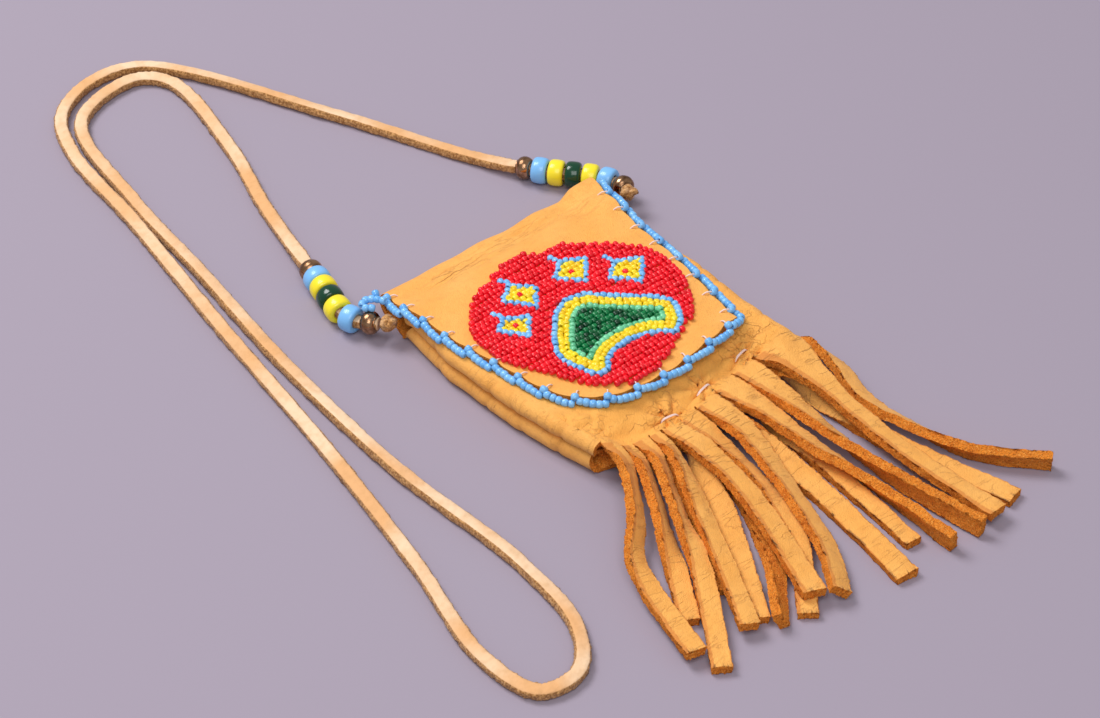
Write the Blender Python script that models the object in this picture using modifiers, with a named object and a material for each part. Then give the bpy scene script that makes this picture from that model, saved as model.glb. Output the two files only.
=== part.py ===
"""Beaded buckskin medicine bag on a neck thong, lying on its back with the fringe spread.

The pouch is two panels of soft hide whose edges curl round to meet in a side seam, so that each
side shows two parallel rolls. The back panel turns over at the top, where the flap starts. Both
panels are cut into a fringe below the bottom stitches. The flap carries a disc of seed beads with
a paw on it, and a string of beads along its edge. The thong runs through six beads on each side.

Metres, +Z up, +Y from the fringe to the fold, +X to the right as the bag is looked at from above.
Everything is drawn from the fold's line, and the empty 'bag' puts that at its place.
"""

import math

import bmesh
import bpy
from mathutils import Vector

# Hide, clearances and the fold
HIDE = 0.0018
CLEAR = 0.0003
REST_CLEAR = 0.0001
FOLD_Y = -0.0042
AXIS_HEIGHT = 0.0046
FOLD_HALF_WIDTH = 0.0450
LIP_ANGLE = 85.0
FLAP_START_ANGLE = 75.0
LIP_STEPS = 4

# Pouch: the rolls along its sides, its mouth and its bottom stitches
ROLL = 0.0070
FLAP_RISE = 0.0047
FLAP_RISE_RUN = 0.0180
MOUTH_Y = -0.0125
ROLL_RUN_IN = 0.0120
EDGE_SPREAD = 0.0030
EDGE_SWEEP = 8.0
ROLL_SWEEP = 185.0
ROLL_STEPS = 4
STITCH_PINCH = 0.0040
PINCH_RUN = 0.0140
PINCH_MARGIN = 0.0090
SIDE_LEFT = [(-0.104, 0.0420), (-0.070, 0.0480), (-0.040, 0.0500), (-0.012, 0.0470)]
SIDE_RIGHT = [(-0.104, 0.0440), (-0.070, 0.0470), (-0.040, 0.0475), (-0.012, 0.0465)]
ROOT_LINE = [(-0.042, -0.0990), (-0.034, -0.1055), (-0.012, -0.1075), (0.005, -0.1040),
             (0.016, -0.1015), (0.044, -0.0975)]
ROW_SHARES = [0.0, 0.06, 0.14, 0.34, 0.60, 0.80, 0.90, 0.96, 1.0]
STRIP_EASE = 0.012
STRIP_WIDEN = 0.034

# Fringe. Each strip has its root's two ends across the bottom edge, its width, and the places it
# passes as (x, y, height, turn in degrees with the left edge up), the last one being its tip
FRONT_STRIPS = [
    (-0.0385, -0.0343, 0.0065, [(-0.0377, -0.1115, 0.0103, 50), (-0.0490, -0.130, 0.0078, 60),
                                (-0.0585, -0.140, 0.0058, 45), (-0.0635, -0.153, 0.0045, 12),
                                (-0.0700, -0.181, 0.0042, 0)]),
    (-0.0337, -0.0296, 0.0062, [(-0.0326, -0.114, 0.0083, 52), (-0.0381, -0.126, 0.0064, 60),
                                (-0.0447, -0.138, 0.0046, 55), (-0.0518, -0.152, 0.0025, 12),
                                (-0.0614, -0.1685, 0.0012, 0)]),
    (-0.0290, -0.0236, 0.0062, [(-0.0270, -0.114, 0.0085, 50), (-0.0326, -0.127, 0.0068, 58),
                                (-0.0387, -0.140, 0.0058, 50), (-0.0434, -0.151, 0.0054, 22),
                                (-0.0508, -0.164, 0.0038, 3), (-0.0670, -0.189, 0.0016, 0)]),
    (-0.0230, -0.0191, 0.0062, [(-0.0222, -0.116, 0.0088, 40), (-0.0265, -0.129, 0.0070, 30),
                                (-0.0320, -0.142, 0.0054, 10), (-0.0435, -0.168, 0.0042, 0),
                                (-0.0508, -0.183, 0.0040, 0)]),
    (-0.0185, -0.0111, 0.0075, [(-0.0137, -0.121, 0.0086, -4), (-0.0148, -0.141, 0.0070, -5),
                                (-0.0192, -0.160, 0.0056, -4), (-0.0272, -0.186, 0.0044, 0)]),
    (-0.0105, -0.0036, 0.0062, [(-0.0064, -0.120, 0.0064, 24), (-0.0068, -0.137, 0.0045, 38),
                                (-0.0100, -0.152, 0.0042, 22), (-0.0150, -0.166, 0.0022, 4),
                                (-0.0325, -0.189, 0.0013, 0)]),
    (-0.0030, 0.0059, 0.0070, [(0.0025, -0.121, 0.0078, 8), (-0.0012, -0.141, 0.0056, 18),
                               (-0.0068, -0.161, 0.0048, 28), (-0.0112, -0.174, 0.0046, 32),
                               (-0.0205, -0.190, 0.0040, 32)]),
    (0.0065, 0.0159, 0.0068, [(0.0135, -0.121, 0.0076, 2), (0.0155, -0.142, 0.0056, 10),
                              (0.0192, -0.164, 0.0044, 25), (0.0206, -0.1965, 0.0034, 42)]),
    (0.0165, 0.0264, 0.0066, [(0.0224, -0.118, 0.0078, 0), (0.0236, -0.140, 0.0060, 40),
                              (0.0260, -0.162, 0.0046, 72), (0.0292, -0.182, 0.0040, 112),
                              (0.0322, -0.1975, 0.0030, 150)]),
]
CORNER_STRIP = (0.0270, 0.0068, [(0.0362, -0.118, 0.0082, -4), (0.0356, -0.142, 0.0058, -5),
                                 (0.0362, -0.163, 0.0046, -4), (0.0396, -0.1965, 0.0040, 0)])
BACK_STRIPS = [
    (-0.0270, -0.0215, 0.0060, [(-0.0262, -0.120, 0.0034, 0), (-0.0300, -0.137, 0.0012, 0),
                                (-0.0368, -0.153, 0.0012, 0), (-0.0448, -0.166, 0.0012, 0)]),
    (-0.0165, -0.0095, 0.0072, [(-0.0154, -0.119, 0.0040, 0), (-0.0204, -0.136, 0.0014, 0),
                                (-0.0270, -0.151, 0.0012, 0), (-0.0455, -0.181, 0.0012, 0)]),
    (-0.0080, -0.0020, 0.0060, [(-0.0083, -0.119, 0.0022, 0), (-0.0120, -0.136, 0.0013, 0),
                                (-0.0190, -0.154, 0.0013, 0), (-0.0262, -0.167, 0.0024, 30),
                                (-0.0415, -0.1868, 0.0034, 60)]),
    (0.0010, 0.0080, 0.0075, [(0.0066, -0.119, 0.0038, 0), (0.0072, -0.138, 0.0012, 0),
                              (0.0056, -0.162, 0.0012, 0), (0.0014, -0.1965, 0.0012, 0)]),
    (0.0110, 0.0170, 0.0056, [(0.0155, -0.120, 0.0034, 0), (0.0158, -0.140, 0.0012, 0),
                              (0.0146, -0.165, 0.0012, 0), (0.0128, -0.1875, 0.0012, 0)]),
    (0.0290, 0.0360, 0.0068, [(0.0338, -0.118, 0.0036, 0), (0.0370, -0.138, 0.0012, 0),
                              (0.0402, -0.156, 0.0012, 0), (0.0506, -0.1935, 0.0012, 0)]),
]
SIDE_STRIP = (0.0395, 0.0066, [(0.0480, -0.104, 0.0046, -50), (0.0478, -0.117, 0.0042, -55),
                               (0.0439, -0.133, 0.0040, -50), (0.0474, -0.155, 0.0034, -20),
                               (0.0540, -0.173, 0.0016, 0), (0.0692, -0.1910, 0.0013, 0)])

# Flap: its outline from the fold down each side, and along its rounded lower edge
FLAP_LEFT = [(-0.0460, FOLD_Y), (-0.0470, -0.018), (-0.0462, -0.036), (-0.0425, -0.055),
             (-0.0387, -0.074), (-0.0350, -0.0820)]
FLAP_BOTTOM = [(-0.0350, -0.0820), (-0.0260, -0.0893), (-0.0140, -0.0924), (0.0020, -0.0927),
               (0.0180, -0.0909), (0.0300, -0.0882)]
FLAP_RIGHT = [(0.0450, FOLD_Y), (0.0405, -0.011), (0.0385, -0.020), (0.0366, -0.032),
              (0.0352, -0.053), (0.0325, -0.071), (0.0300, -0.0882)]
FLAP_COLUMNS = 10
FLAP_ROWS = 11

# Seed beads: the string on the flap's edge, the loose curl at its corner, and the disc
SEED_DIAMETER = 0.0022
SEED_PITCH = 0.00185
SEED_NECK = 0.45
EDGE_BEAD_OFFSET = 0.0021
EDGE_BEAD_START = 0.0015
CORNER_CURL = [(-0.0511, -0.0004, 0.0108), (-0.0516, 0.0014, 0.0107), (-0.0529, 0.0023, 0.0107),
               (-0.0545, 0.0014, 0.0107), (-0.0550, -0.0009, 0.0107), (-0.0539, -0.0030, 0.0106)]
FIELD_CLEAR = 0.0002
FIELD_HEIGHT = 0.0019
LANE_PITCH = 0.0044
LANE_DEPTH = 0.0006
DISC = [(-0.0415, -0.0480), (-0.0345, -0.0325), (-0.0207, -0.0250), (-0.0077, -0.0205),
        (0.0073, -0.0240), (0.0223, -0.0345), (0.0303, -0.0480), (0.0283, -0.0640),
        (0.0183, -0.0790), (0.0015, -0.0868), (-0.0097, -0.0905), (-0.0217, -0.0862),
        (-0.0327, -0.0740), (-0.0402, -0.0610)]
# each toe's place, across, and up from the top of the pad's middle line
TOES = [("first", -0.0284, 0.0145), ("second", -0.0175, 0.0253),
        ("third", 0.0025, 0.0233), ("fourth", 0.0162, 0.0122)]
TOE_REACH = 0.0062
TOE_WAIST = 0.0034
TOE_OUTLINE = 0.0018
TOE_HEART = 0.0011
PAD_CENTRE = (-0.0045, -0.0855)
PAD_ARC_RADIUS = 0.0235
PAD_HALF_SWEEP = 46.0
PAD_MIDDLE = 0.0140
PAD_END = 0.0058
PAD_BLUE = 0.0020
PAD_YELLOW = 0.0046
PAD_MINT = 0.0018

# Neck thong, the beads on it and the knots that hold it at the pouch's corners
THONG_DIAMETER = 0.0037
PONY_DIAMETER = 0.0092
PONY_LENGTH = 0.0051
BRASS_DIAMETER = 0.0078
BRASS_LENGTH = 0.0050
BORE_CLEAR = 0.00050
KNOT_RADIUS = 0.0034
KNOT_GROOVE = 0.0007
LEFT_KNOT = (-0.0518, -0.0110, 0.0078)
RIGHT_KNOT = (0.0511, -0.0110, 0.0082)
THONG_ROUTE = [
    (-0.0531, -0.0078, 0.0066), (-0.0549, -0.0043, 0.0057), (-0.0564, -0.0014, 0.0051),
    (-0.0575, 0.0018, 0.0049), (-0.0579, 0.0055, 0.0049), (-0.0572, 0.0100, 0.0049),
    (-0.0554, 0.0171, 0.0049), (-0.0528, 0.0276, 0.0044), (-0.0428, 0.0680, 0.0022),
    (-0.0330, 0.1010, 0.0022), (-0.0272, 0.1455, 0.0022), (-0.0365, 0.1550, 0.0022),
    (-0.0640, 0.1468, 0.0022), (-0.0750, 0.0990, 0.0022), (-0.0792, 0.0550, 0.0022),
    (-0.0852, 0.0000, 0.0022), (-0.0876, -0.0620, 0.0022), (-0.0843, -0.1160, 0.0022),
    (-0.0882, -0.1480, 0.0022), (-0.1000, -0.1628, 0.0022), (-0.1135, -0.1612, 0.0022),
    (-0.1176, -0.1400, 0.0022), (-0.1088, -0.0980, 0.0022), (-0.0990, -0.0400, 0.0022),
    (-0.0900, 0.0300, 0.0022), (-0.0812, 0.0900, 0.0022), (-0.0764, 0.1335, 0.0022),
    (-0.0675, 0.1538, 0.0022), (-0.0490, 0.1634, 0.0022), (-0.0295, 0.1594, 0.0022),
    (0.0060, 0.0935, 0.0022), (0.0270, 0.0460, 0.0022), (0.0356, 0.0264, 0.0044),
    (0.0420, 0.0165, 0.0049), (0.0482, 0.0090, 0.0049), (0.0508, 0.0055, 0.0049),
    (0.0528, 0.0018, 0.0050), (0.0538, -0.0020, 0.0054), (0.0538, -0.0052, 0.0061),
    (0.0527, -0.0080, 0.0070),
]
THONG_POINTS_PER_SPAN = 2
# Beads from each knot on: where the first sits, and the step to each next one
STACK = ("brass", "blue", "yellow", "green", "yellow", "blue", "brass")
STACK_START = 0.0029
LEFT_STEPS = (0.0073, 0.0067, 0.0058, 0.0055, 0.0054, 0.0054)
RIGHT_STEPS = (0.0072, 0.0063, 0.0059, 0.0058, 0.0057, 0.0057)

# Where the fold's line lies from the middle of the bag's own footprint
FOLD_PLACE = (0.0008, 0.09755)

BACK_Z = HIDE / 2 + REST_CLEAR
LIP_RADIUS = AXIS_HEIGHT - BACK_Z
FLAP_RADIUS = LIP_RADIUS + HIDE + CLEAR
ROLL_RADIUS = ROLL / 2


def smooth(t):
    """Ease from 0 to 1."""
    t = min(max(t, 0.0), 1.0)
    return t * t * (3.0 - 2.0 * t)


def read_line(stations, at):
    """Value at a place between (place, value) pairs, in straight lines from one to the next."""
    if at <= stations[0][0]:
        return stations[0][1]
    for (a, value_a), (b, value_b) in zip(stations, stations[1:]):
        if at <= b:
            return value_a + (value_b - value_a) * (at - a) / (b - a)
    return stations[-1][1]


def curve_point(points, place, closed=False):
    """Point of a smooth curve through the points; place counts spans from the first point."""
    count = len(points)
    span = int(math.floor(place))
    if not closed:
        span = min(max(span, 0), count - 2)
    t = place - span

    def at(i):
        if closed:
            return Vector(points[i % count])
        if i < 0:
            return 2 * Vector(points[0]) - Vector(points[1])
        if i >= count:
            return 2 * Vector(points[-1]) - Vector(points[-2])
        return Vector(points[i])

    before, start, end, after = at(span - 1), at(span), at(span + 1), at(span + 2)
    # centripetal knots keep the curve from looping where the points are unevenly spaced
    k1 = max((start - before).length, 1e-6) ** 0.5
    k2 = k1 + max((end - start).length, 1e-6) ** 0.5
    k3 = k2 + max((after - end).length, 1e-6) ** 0.5
    u = k1 + (k2 - k1) * t
    a1 = before * ((k1 - u) / k1) + start * (u / k1)
    a2 = start * ((k2 - u) / (k2 - k1)) + end * ((u - k1) / (k2 - k1))
    a3 = end * ((k3 - u) / (k3 - k2)) + after * ((u - k2) / (k3 - k2))
    b1 = a1 * ((k2 - u) / k2) + a2 * (u / k2)
    b2 = a2 * ((k3 - u) / (k3 - k1)) + a3 * ((u - k1) / (k3 - k1))
    return b1 * ((k2 - u) / (k2 - k1)) + b2 * ((u - k1) / (k2 - k1))


def curve_points(points, per_span, closed=False):
    """Evenly counted points along the smooth curve."""
    spans = len(points) if closed else len(points) - 1
    found = [curve_point(points, i / per_span, closed) for i in range(spans * per_span)]
    if not closed:
        found.append(Vector(points[-1]))
    return found


def even_points(line, pitch):
    """Points at an even distance along a polyline, ends kept."""
    lengths = [0.0]
    for a, b in zip(line, line[1:]):
        lengths.append(lengths[-1] + (b - a).length)
    count = max(2, round(lengths[-1] / pitch) + 1)
    found = []
    for i in range(count):
        want = lengths[-1] * i / (count - 1)
        j = min(max(k for k, run in enumerate(lengths) if run <= want), len(line) - 2)
        t = (want - lengths[j]) / (lengths[j + 1] - lengths[j])
        found.append(line[j].lerp(line[j + 1], t))
    return found


def point_along(line, distance):
    """Point of a polyline at a distance from its first point, and the way it runs there."""
    for a, b in zip(line, line[1:]):
        step = (b - a).length
        if distance <= step:
            return a.lerp(b, distance / step), (b - a).normalized()
        distance -= step
    return line[-1], (line[-1] - line[-2]).normalized()


def clear_scene():
    for old in list(bpy.data.objects):
        bpy.data.objects.remove(old, do_unlink=True)


def make_material(name, colour, roughness, metallic=0.0):
    material = bpy.data.materials.new(name)
    material.use_nodes = True
    shader = material.node_tree.nodes["Principled BSDF"]
    shader.inputs["Base Color"].default_value = (*colour, 1.0)
    shader.inputs["Roughness"].default_value = roughness
    shader.inputs["Metallic"].default_value = metallic
    return material


def place(obj, material, parent):
    """Give an object its material and collection, and hang it under its empty."""
    obj.data.materials.clear()
    obj.data.materials.append(material)
    obj.parent = parent
    obj.location = -parent.location if parent.parent else Vector((0, 0, 0))
    return obj


def object_from_bmesh(bm, name, collection):
    mesh = bpy.data.meshes.new(name)
    bm.normal_update()
    bm.to_mesh(mesh)
    bm.free()
    obj = bpy.data.objects.new(name, mesh)
    collection.objects.link(obj)
    return obj


def add_wall(obj, thickness):
    """Give an open sheet its thickness, half to each side."""
    wall = obj.modifiers.new("hide", 'SOLIDIFY')
    wall.thickness = thickness
    wall.offset = 0.0
    wall.use_even_offset = True
    wall.use_quality_normals = True


def curve_to_mesh(obj, collection):
    """Replace a curve by its welded mesh."""
    graph = bpy.context.evaluated_depsgraph_get()
    mesh = bpy.data.meshes.new_from_object(obj.evaluated_get(graph))
    bm = bmesh.new()
    bm.from_mesh(mesh)
    bmesh.ops.remove_doubles(bm, verts=bm.verts, dist=1e-6)
    bmesh.ops.recalc_face_normals(bm, faces=bm.faces)
    bpy.data.meshes.remove(mesh)
    name = obj.name
    bpy.data.objects.remove(obj, do_unlink=True)
    return object_from_bmesh(bm, name, collection)


def flap_middle(y):
    """Place (y, z) of the flap's middle surface; past the fold's line, y is hide round the fold."""
    v = FOLD_Y - y
    if v < 0.0:
        angle = math.pi / 2 + v / FLAP_RADIUS
        return FOLD_Y + FLAP_RADIUS * math.cos(angle), AXIS_HEIGHT + FLAP_RADIUS * math.sin(angle)
    return y, AXIS_HEIGHT + FLAP_RADIUS + FLAP_RISE * smooth(v / FLAP_RISE_RUN)


def front_height(y):
    """Middle of the front panel, which the flap rests on, a hide's thickness below it square on."""
    slope = (flap_middle(y - 0.0005)[1] - flap_middle(y + 0.0005)[1]) / 0.001
    return flap_middle(y)[1] - (HIDE + CLEAR) * math.hypot(1.0, slope)


def root_y(x):
    return read_line(ROOT_LINE, x)


def pinch(x, y):
    """How far the bottom stitches draw the panels together, from 0 to 1."""
    side = SIDE_LEFT if x < 0 else SIDE_RIGHT
    inner = read_line(side, y) - ROLL_RADIUS
    down = 1.0 - smooth((y - root_y(x) - 0.002) / PINCH_RUN)
    across = 1.0 - smooth((abs(x) - inner + PINCH_MARGIN) / PINCH_MARGIN)
    return down * across


def panel_columns(strips, last):
    """Columns of a panel at its bottom edge: ('flat', x) or ('left' or 'right', share of the roll)."""
    columns = [("left", 1.0 - i / ROLL_STEPS) for i in range(ROLL_STEPS)]
    for strip in strips:
        columns += [("flat", strip[0]), ("flat", strip[1])]
    columns += [("flat", last), ("flat", None)]
    columns += [("right", (i + 1) / ROLL_STEPS) for i in range(ROLL_STEPS)]
    return columns


def closed_slits(columns):
    """The same columns above the slits, where both sides of a slit are one line."""
    closed = list(columns)
    for i in range(ROLL_STEPS + 1, len(columns) - ROLL_STEPS - 2, 2):
        middle = (columns[i][1] + columns[i + 1][1]) / 2
        closed[i] = closed[i + 1] = ("flat", middle)
    return closed


def roll_section(table, y, flat_z, front):
    """Where a side roll starts, its radius, and the turn that the hide makes in it."""
    rolled = smooth((MOUTH_Y - y) / ROLL_RUN_IN)
    outer_radius = (flat_z + HIDE / 2 - ROLL - CLEAR) / 2 if front else ROLL_RADIUS
    full = outer_radius - HIDE / 2
    sweep = math.radians(EDGE_SWEEP + (ROLL_SWEEP - EDGE_SWEEP) * rolled)
    length = EDGE_SPREAD + (full * math.radians(ROLL_SWEEP) - EDGE_SPREAD) * rolled
    radius = length / sweep
    reach = radius * math.sin(min(sweep, math.pi / 2)) + HIDE / 2 * rolled
    return read_line(table, y) - reach, radius, sweep


def panel_point(column, share, front):
    """A point of the front or back panel's middle surface, share 0 at the mouth and 1 at the root."""
    kind, value = column
    right = kind == "right" or (kind == "flat" and (value is None or value > 0))
    table = SIDE_RIGHT if right else SIDE_LEFT
    sign = 1.0 if right else -1.0
    bottom_inner = table[0][1] - ROLL_RADIUS
    bottom_x = sign * bottom_inner if kind != "flat" or value is None else value
    y = MOUTH_Y + (root_y(bottom_x) - MOUTH_Y) * share
    flat_z = front_height(y) if front else BACK_Z
    inner, radius, sweep = roll_section(table, y, flat_z, front)
    if kind == "flat" and value is not None:
        full = STITCH_PINCH if front else -(front_height(y) - STITCH_PINCH - HIDE - CLEAR - BACK_Z)
        return Vector((value * inner / bottom_inner, y, flat_z - full * pinch(value, y)))
    turn = 0.0 if kind == "flat" else sweep * value
    drop = radius * (1.0 - math.cos(turn))
    x = sign * (inner + radius * math.sin(turn))
    return Vector((x, y, flat_z - drop if front else flat_z + drop))


def strip_sections(root, places, width):
    """Cross lines of a fringe strip, from its root's points to its tip."""
    root_middle = sum(root, Vector()) / len(root)
    root_width = (root[-1] - root[0]).length
    path = [Vector((*root_middle, 0.0))] + [Vector(p) for p in places]
    path = [Vector((p[0], p[1], p[2], math.radians(p[3]) * 0.01)) for p in path]
    found = curve_points(path, 2)
    sections = []
    run = 0.0
    for i in range(1, len(found)):
        here = found[i]
        ahead = found[min(i + 1, len(found) - 1)]
        along = Vector((ahead - found[i - 1])[:3]).normalized()
        run += Vector((here - found[i - 1])[:3]).length
        across = Vector((-along.y, along.x, 0.0)).normalized()
        up = along.cross(across)
        turn = here[3] * 100.0
        wide = across * math.cos(turn) - up * math.sin(turn)
        middle = Vector(here[:3])
        full = root_width + (width - root_width) * smooth(run / STRIP_WIDEN)
        row = []
        for j, start in enumerate(root):
            flat = middle + wide * full * (j / (len(root) - 1) - 0.5)
            row.append((start + middle - root_middle).lerp(flat, smooth(run / STRIP_EASE)))
        sections.append(row)
    return sections


def add_rows(bm, first, rows):
    """Carry a row of vertices on through more rows of points, with quads between."""
    last = first
    for row in rows:
        fresh = [bm.verts.new(p) for p in row]
        for a, b, c, d in zip(last, last[1:], fresh[1:], fresh):
            bm.faces.new((a, d, c, b))
        last = fresh
    return last


def build_panel(name, front, strips, corner, material, collection, parent):
    """A panel with its side rolls and its fringe, as one sheet; the back one has the fold's lip."""
    columns = panel_columns(strips, corner[0])
    bm = bmesh.new()
    above = closed_slits(columns)
    rows = [[panel_point(column, share, front) for column in above] for share in ROW_SHARES[:-1]]
    rows.append([panel_point(column, 1.0, front) for column in columns])
    if not front:
        rows = lip_rows(rows[0]) + rows
    top = [bm.verts.new(p) for p in rows[0]]
    bottom = add_rows(bm, top, rows[1:])
    for i, (_, _, width, places) in enumerate(strips):
        root = bottom[ROLL_STEPS + 2 * i:ROLL_STEPS + 2 * i + 2]
        add_rows(bm, root, strip_sections([v.co.copy() for v in root], places, width))
    first = ROLL_STEPS + 2 * len(strips)
    root = bottom[first:first + ROLL_STEPS]
    add_rows(bm, root, strip_sections([v.co.copy() for v in root], corner[2], corner[1]))
    bmesh.ops.remove_doubles(bm, verts=bm.verts, dist=1e-6)
    obj = object_from_bmesh(bm, name, collection)
    add_wall(obj, HIDE)
    return place(obj, material, parent)


def lip_rows(mouth):
    """Rows of the back panel above its mouth row: flat to the fold, then round it."""
    half = max(p.x for p in mouth)
    rows = []
    for i in range(LIP_STEPS + 1):
        angle = LIP_ANGLE - (LIP_ANGLE + 90.0) * i / LIP_STEPS
        a = math.radians(angle)
        y = FOLD_Y + LIP_RADIUS * math.cos(a)
        z = AXIS_HEIGHT + LIP_RADIUS * math.sin(a)
        rows.append([Vector((p.x * FOLD_HALF_WIDTH / half, y, z)) for p in mouth])
    return rows


def outline_place(side, share):
    return curve_point(side, share * (len(side) - 1))


def build_flap(material, collection, parent):
    """The flap: a sheet fitted between the fold, its two sides and its rounded lower edge."""
    start = FOLD_Y + FLAP_RADIUS * math.radians(90.0 - FLAP_START_ANGLE)
    fold_left, fold_right = Vector(FLAP_LEFT[0]), Vector(FLAP_RIGHT[0])
    low_left, low_right = Vector(FLAP_LEFT[-1]), Vector(FLAP_RIGHT[-1])
    rows = []
    for i in range(FLAP_ROWS):
        t = i / (FLAP_ROWS - 1)
        left, right = outline_place(FLAP_LEFT, t), outline_place(FLAP_RIGHT, t)
        row = []
        for j in range(FLAP_COLUMNS):
            s = j / (FLAP_COLUMNS - 1)
            # the four edges' patch: side to side, plus how far the lower edge bows from straight
            fold = fold_left.lerp(fold_right, s)
            low = outline_place(FLAP_BOTTOM, s)
            ends = fold.lerp(low_left.lerp(low_right, s), t)
            row.append(left.lerp(right, s) + fold.lerp(low, t) - ends)
        rows.append(row)
    rows.insert(0, [Vector((p.x, start)) for p in rows[0]])
    placed = [[Vector((p.x, *flap_middle(p.y))) for p in row] for row in rows]
    bm = bmesh.new()
    top = [bm.verts.new(p) for p in placed[0]]
    add_rows(bm, top, placed[1:])
    obj = object_from_bmesh(bm, "flap", collection)
    add_wall(obj, HIDE)
    return place(obj, material, parent)


def bead_string(name, points, material, collection, parent):
    """A thread of seed beads as one body: a tube that swells at each bead."""
    curve = bpy.data.curves.new(name, 'CURVE')
    curve.dimensions = '3D'
    curve.bevel_depth = SEED_DIAMETER / 2
    curve.bevel_resolution = 1
    curve.use_fill_caps = True
    spline = curve.splines.new('POLY')
    spline.points.add(len(points) - 1)
    for i, point in enumerate(points):
        spline.points[i].co = (*point, 1.0)
        spline.points[i].radius = SEED_NECK if i % 2 == 0 else 1.0
    obj = bpy.data.objects.new(name, curve)
    collection.objects.link(obj)
    obj = curve_to_mesh(obj, collection)
    return place(obj, material, parent)


def flap_edge_line():
    """Middle line of the beads along the flap's edge, outside the hide."""
    outline = [Vector((FLAP_LEFT[0][0], FOLD_Y + EDGE_BEAD_START))]
    outline += curve_points(FLAP_LEFT, 5)
    outline += curve_points(FLAP_BOTTOM, 5)[1:]
    outline += list(reversed(curve_points(FLAP_RIGHT, 5)))[1:]
    outline.append(Vector((FLAP_RIGHT[0][0], FOLD_Y + EDGE_BEAD_START)))
    line = []
    for i, point in enumerate(outline):
        before = outline[max(i - 1, 0)]
        after = outline[min(i + 1, len(outline) - 1)]
        along = (after - before).normalized()
        # the outline runs down the left side, so outwards is to its right
        x, y = point + Vector((along.y, -along.x)) * EDGE_BEAD_OFFSET
        line.append(Vector((x, *flap_middle(y))))
    return line


def star_outline(x, y, reach, waist):
    """Four points with the waists between them, as a closed outline."""
    found = []
    for i in range(8):
        angle = math.pi / 2 * i / 2
        radius = reach if i % 2 == 0 else waist
        found.append(Vector((x + radius * math.cos(angle), y + radius * math.sin(angle))))
    return found


def square_outline(x, y, half):
    return [Vector((x + a * half, y + b * half)) for a, b in ((1, 1), (-1, 1), (-1, -1), (1, -1))]


def pad_outline(inset):
    """The paw's pad as a crescent, thick in the middle and open towards the fringe."""
    end = PAD_END - inset
    steps = 9
    sweep = math.radians(PAD_HALF_SWEEP)

    def half_thickness(t):
        return PAD_END + (PAD_MIDDLE - PAD_END) * math.cos(math.pi / 2 * t) - inset

    limit = 1.0
    if end < 0.0:
        limit = math.acos(-end / (PAD_MIDDLE - PAD_END)) * 2 / math.pi
    upper, lower = [], []
    for i in range(steps):
        t = limit * (1 - 2 * i / (steps - 1))
        out = Vector((math.sin(sweep * t), math.cos(sweep * t)))
        middle = Vector(PAD_CENTRE) + out * PAD_ARC_RADIUS
        upper.append(middle + out * half_thickness(t))
        lower.append(middle - out * half_thickness(t))
    if end < 0.0:
        return upper + list(reversed(lower))[1:-1]
    caps = []
    for side in (-1, 1):
        out = Vector((math.sin(side * sweep), math.cos(sweep)))
        middle = Vector(PAD_CENTRE) + out * PAD_ARC_RADIUS
        on = Vector((side * math.cos(sweep), -math.sin(sweep)))
        turns = [math.pi * k / 4 for k in (1, 2, 3)]
        cap = [middle + out * end * math.cos(a) + on * end * math.sin(a) for a in turns]
        caps.append(cap)
    return upper + caps[0] + list(reversed(lower)) + list(reversed(caps[1]))


def bead_field(name, outlines, lanes, material, collection, parent):
    """A field of beadwork in one colour; later outlines are holes, and lanes of beads are ridges."""
    base = flap_middle(FOLD_Y - FLAP_RISE_RUN)[1] + HIDE / 2 + FIELD_CLEAR
    curve = bpy.data.curves.new(name, 'CURVE')
    curve.dimensions = '2D'
    curve.fill_mode = 'BOTH'
    curve.extrude = FIELD_HEIGHT / 2
    for outline in outlines:
        spline = curve.splines.new('POLY')
        spline.use_cyclic_u = True
        spline.points.add(len(outline) - 1)
        for i, point in enumerate(outline):
            spline.points[i].co = (point.x, point.y, 0.0, 1.0)
    flat = bpy.data.objects.new(name, curve)
    collection.objects.link(flat)
    obj = curve_to_mesh(flat, collection)
    bm = bmesh.new()
    bm.from_mesh(obj.data)
    bmesh.ops.translate(bm, verts=bm.verts, vec=(0, 0, base + FIELD_HEIGHT / 2))
    low = min(v.co.y for v in bm.verts)
    high = max(v.co.y for v in bm.verts)
    half = LANE_PITCH / 2
    for k in range(math.ceil(low / half), math.floor(high / half) + 1):
        if lanes and low + 1e-5 < k * half < high - 1e-5:
            cut = bm.verts[:] + bm.edges[:] + bm.faces[:]
            bmesh.ops.bisect_plane(bm, geom=cut, dist=1e-7, plane_co=(0, k * half, 0),
                                   plane_no=(0, 1, 0))
    under = [e for e in bm.edges if all(abs(v.co.z - base) < 1e-6 for v in e.verts)]
    bmesh.ops.dissolve_limit(bm, angle_limit=0.01, edges=under,
                             verts=[v for v in bm.verts if abs(v.co.z - base) < 1e-6])
    for vert in bm.verts:
        if lanes and vert.co.z > base + FIELD_HEIGHT / 2:
            share = vert.co.y / LANE_PITCH
            vert.co.z -= LANE_DEPTH * abs(share - round(share)) * 2
    bm.to_mesh(obj.data)
    bm.free()
    return place(obj, material, parent)


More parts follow.
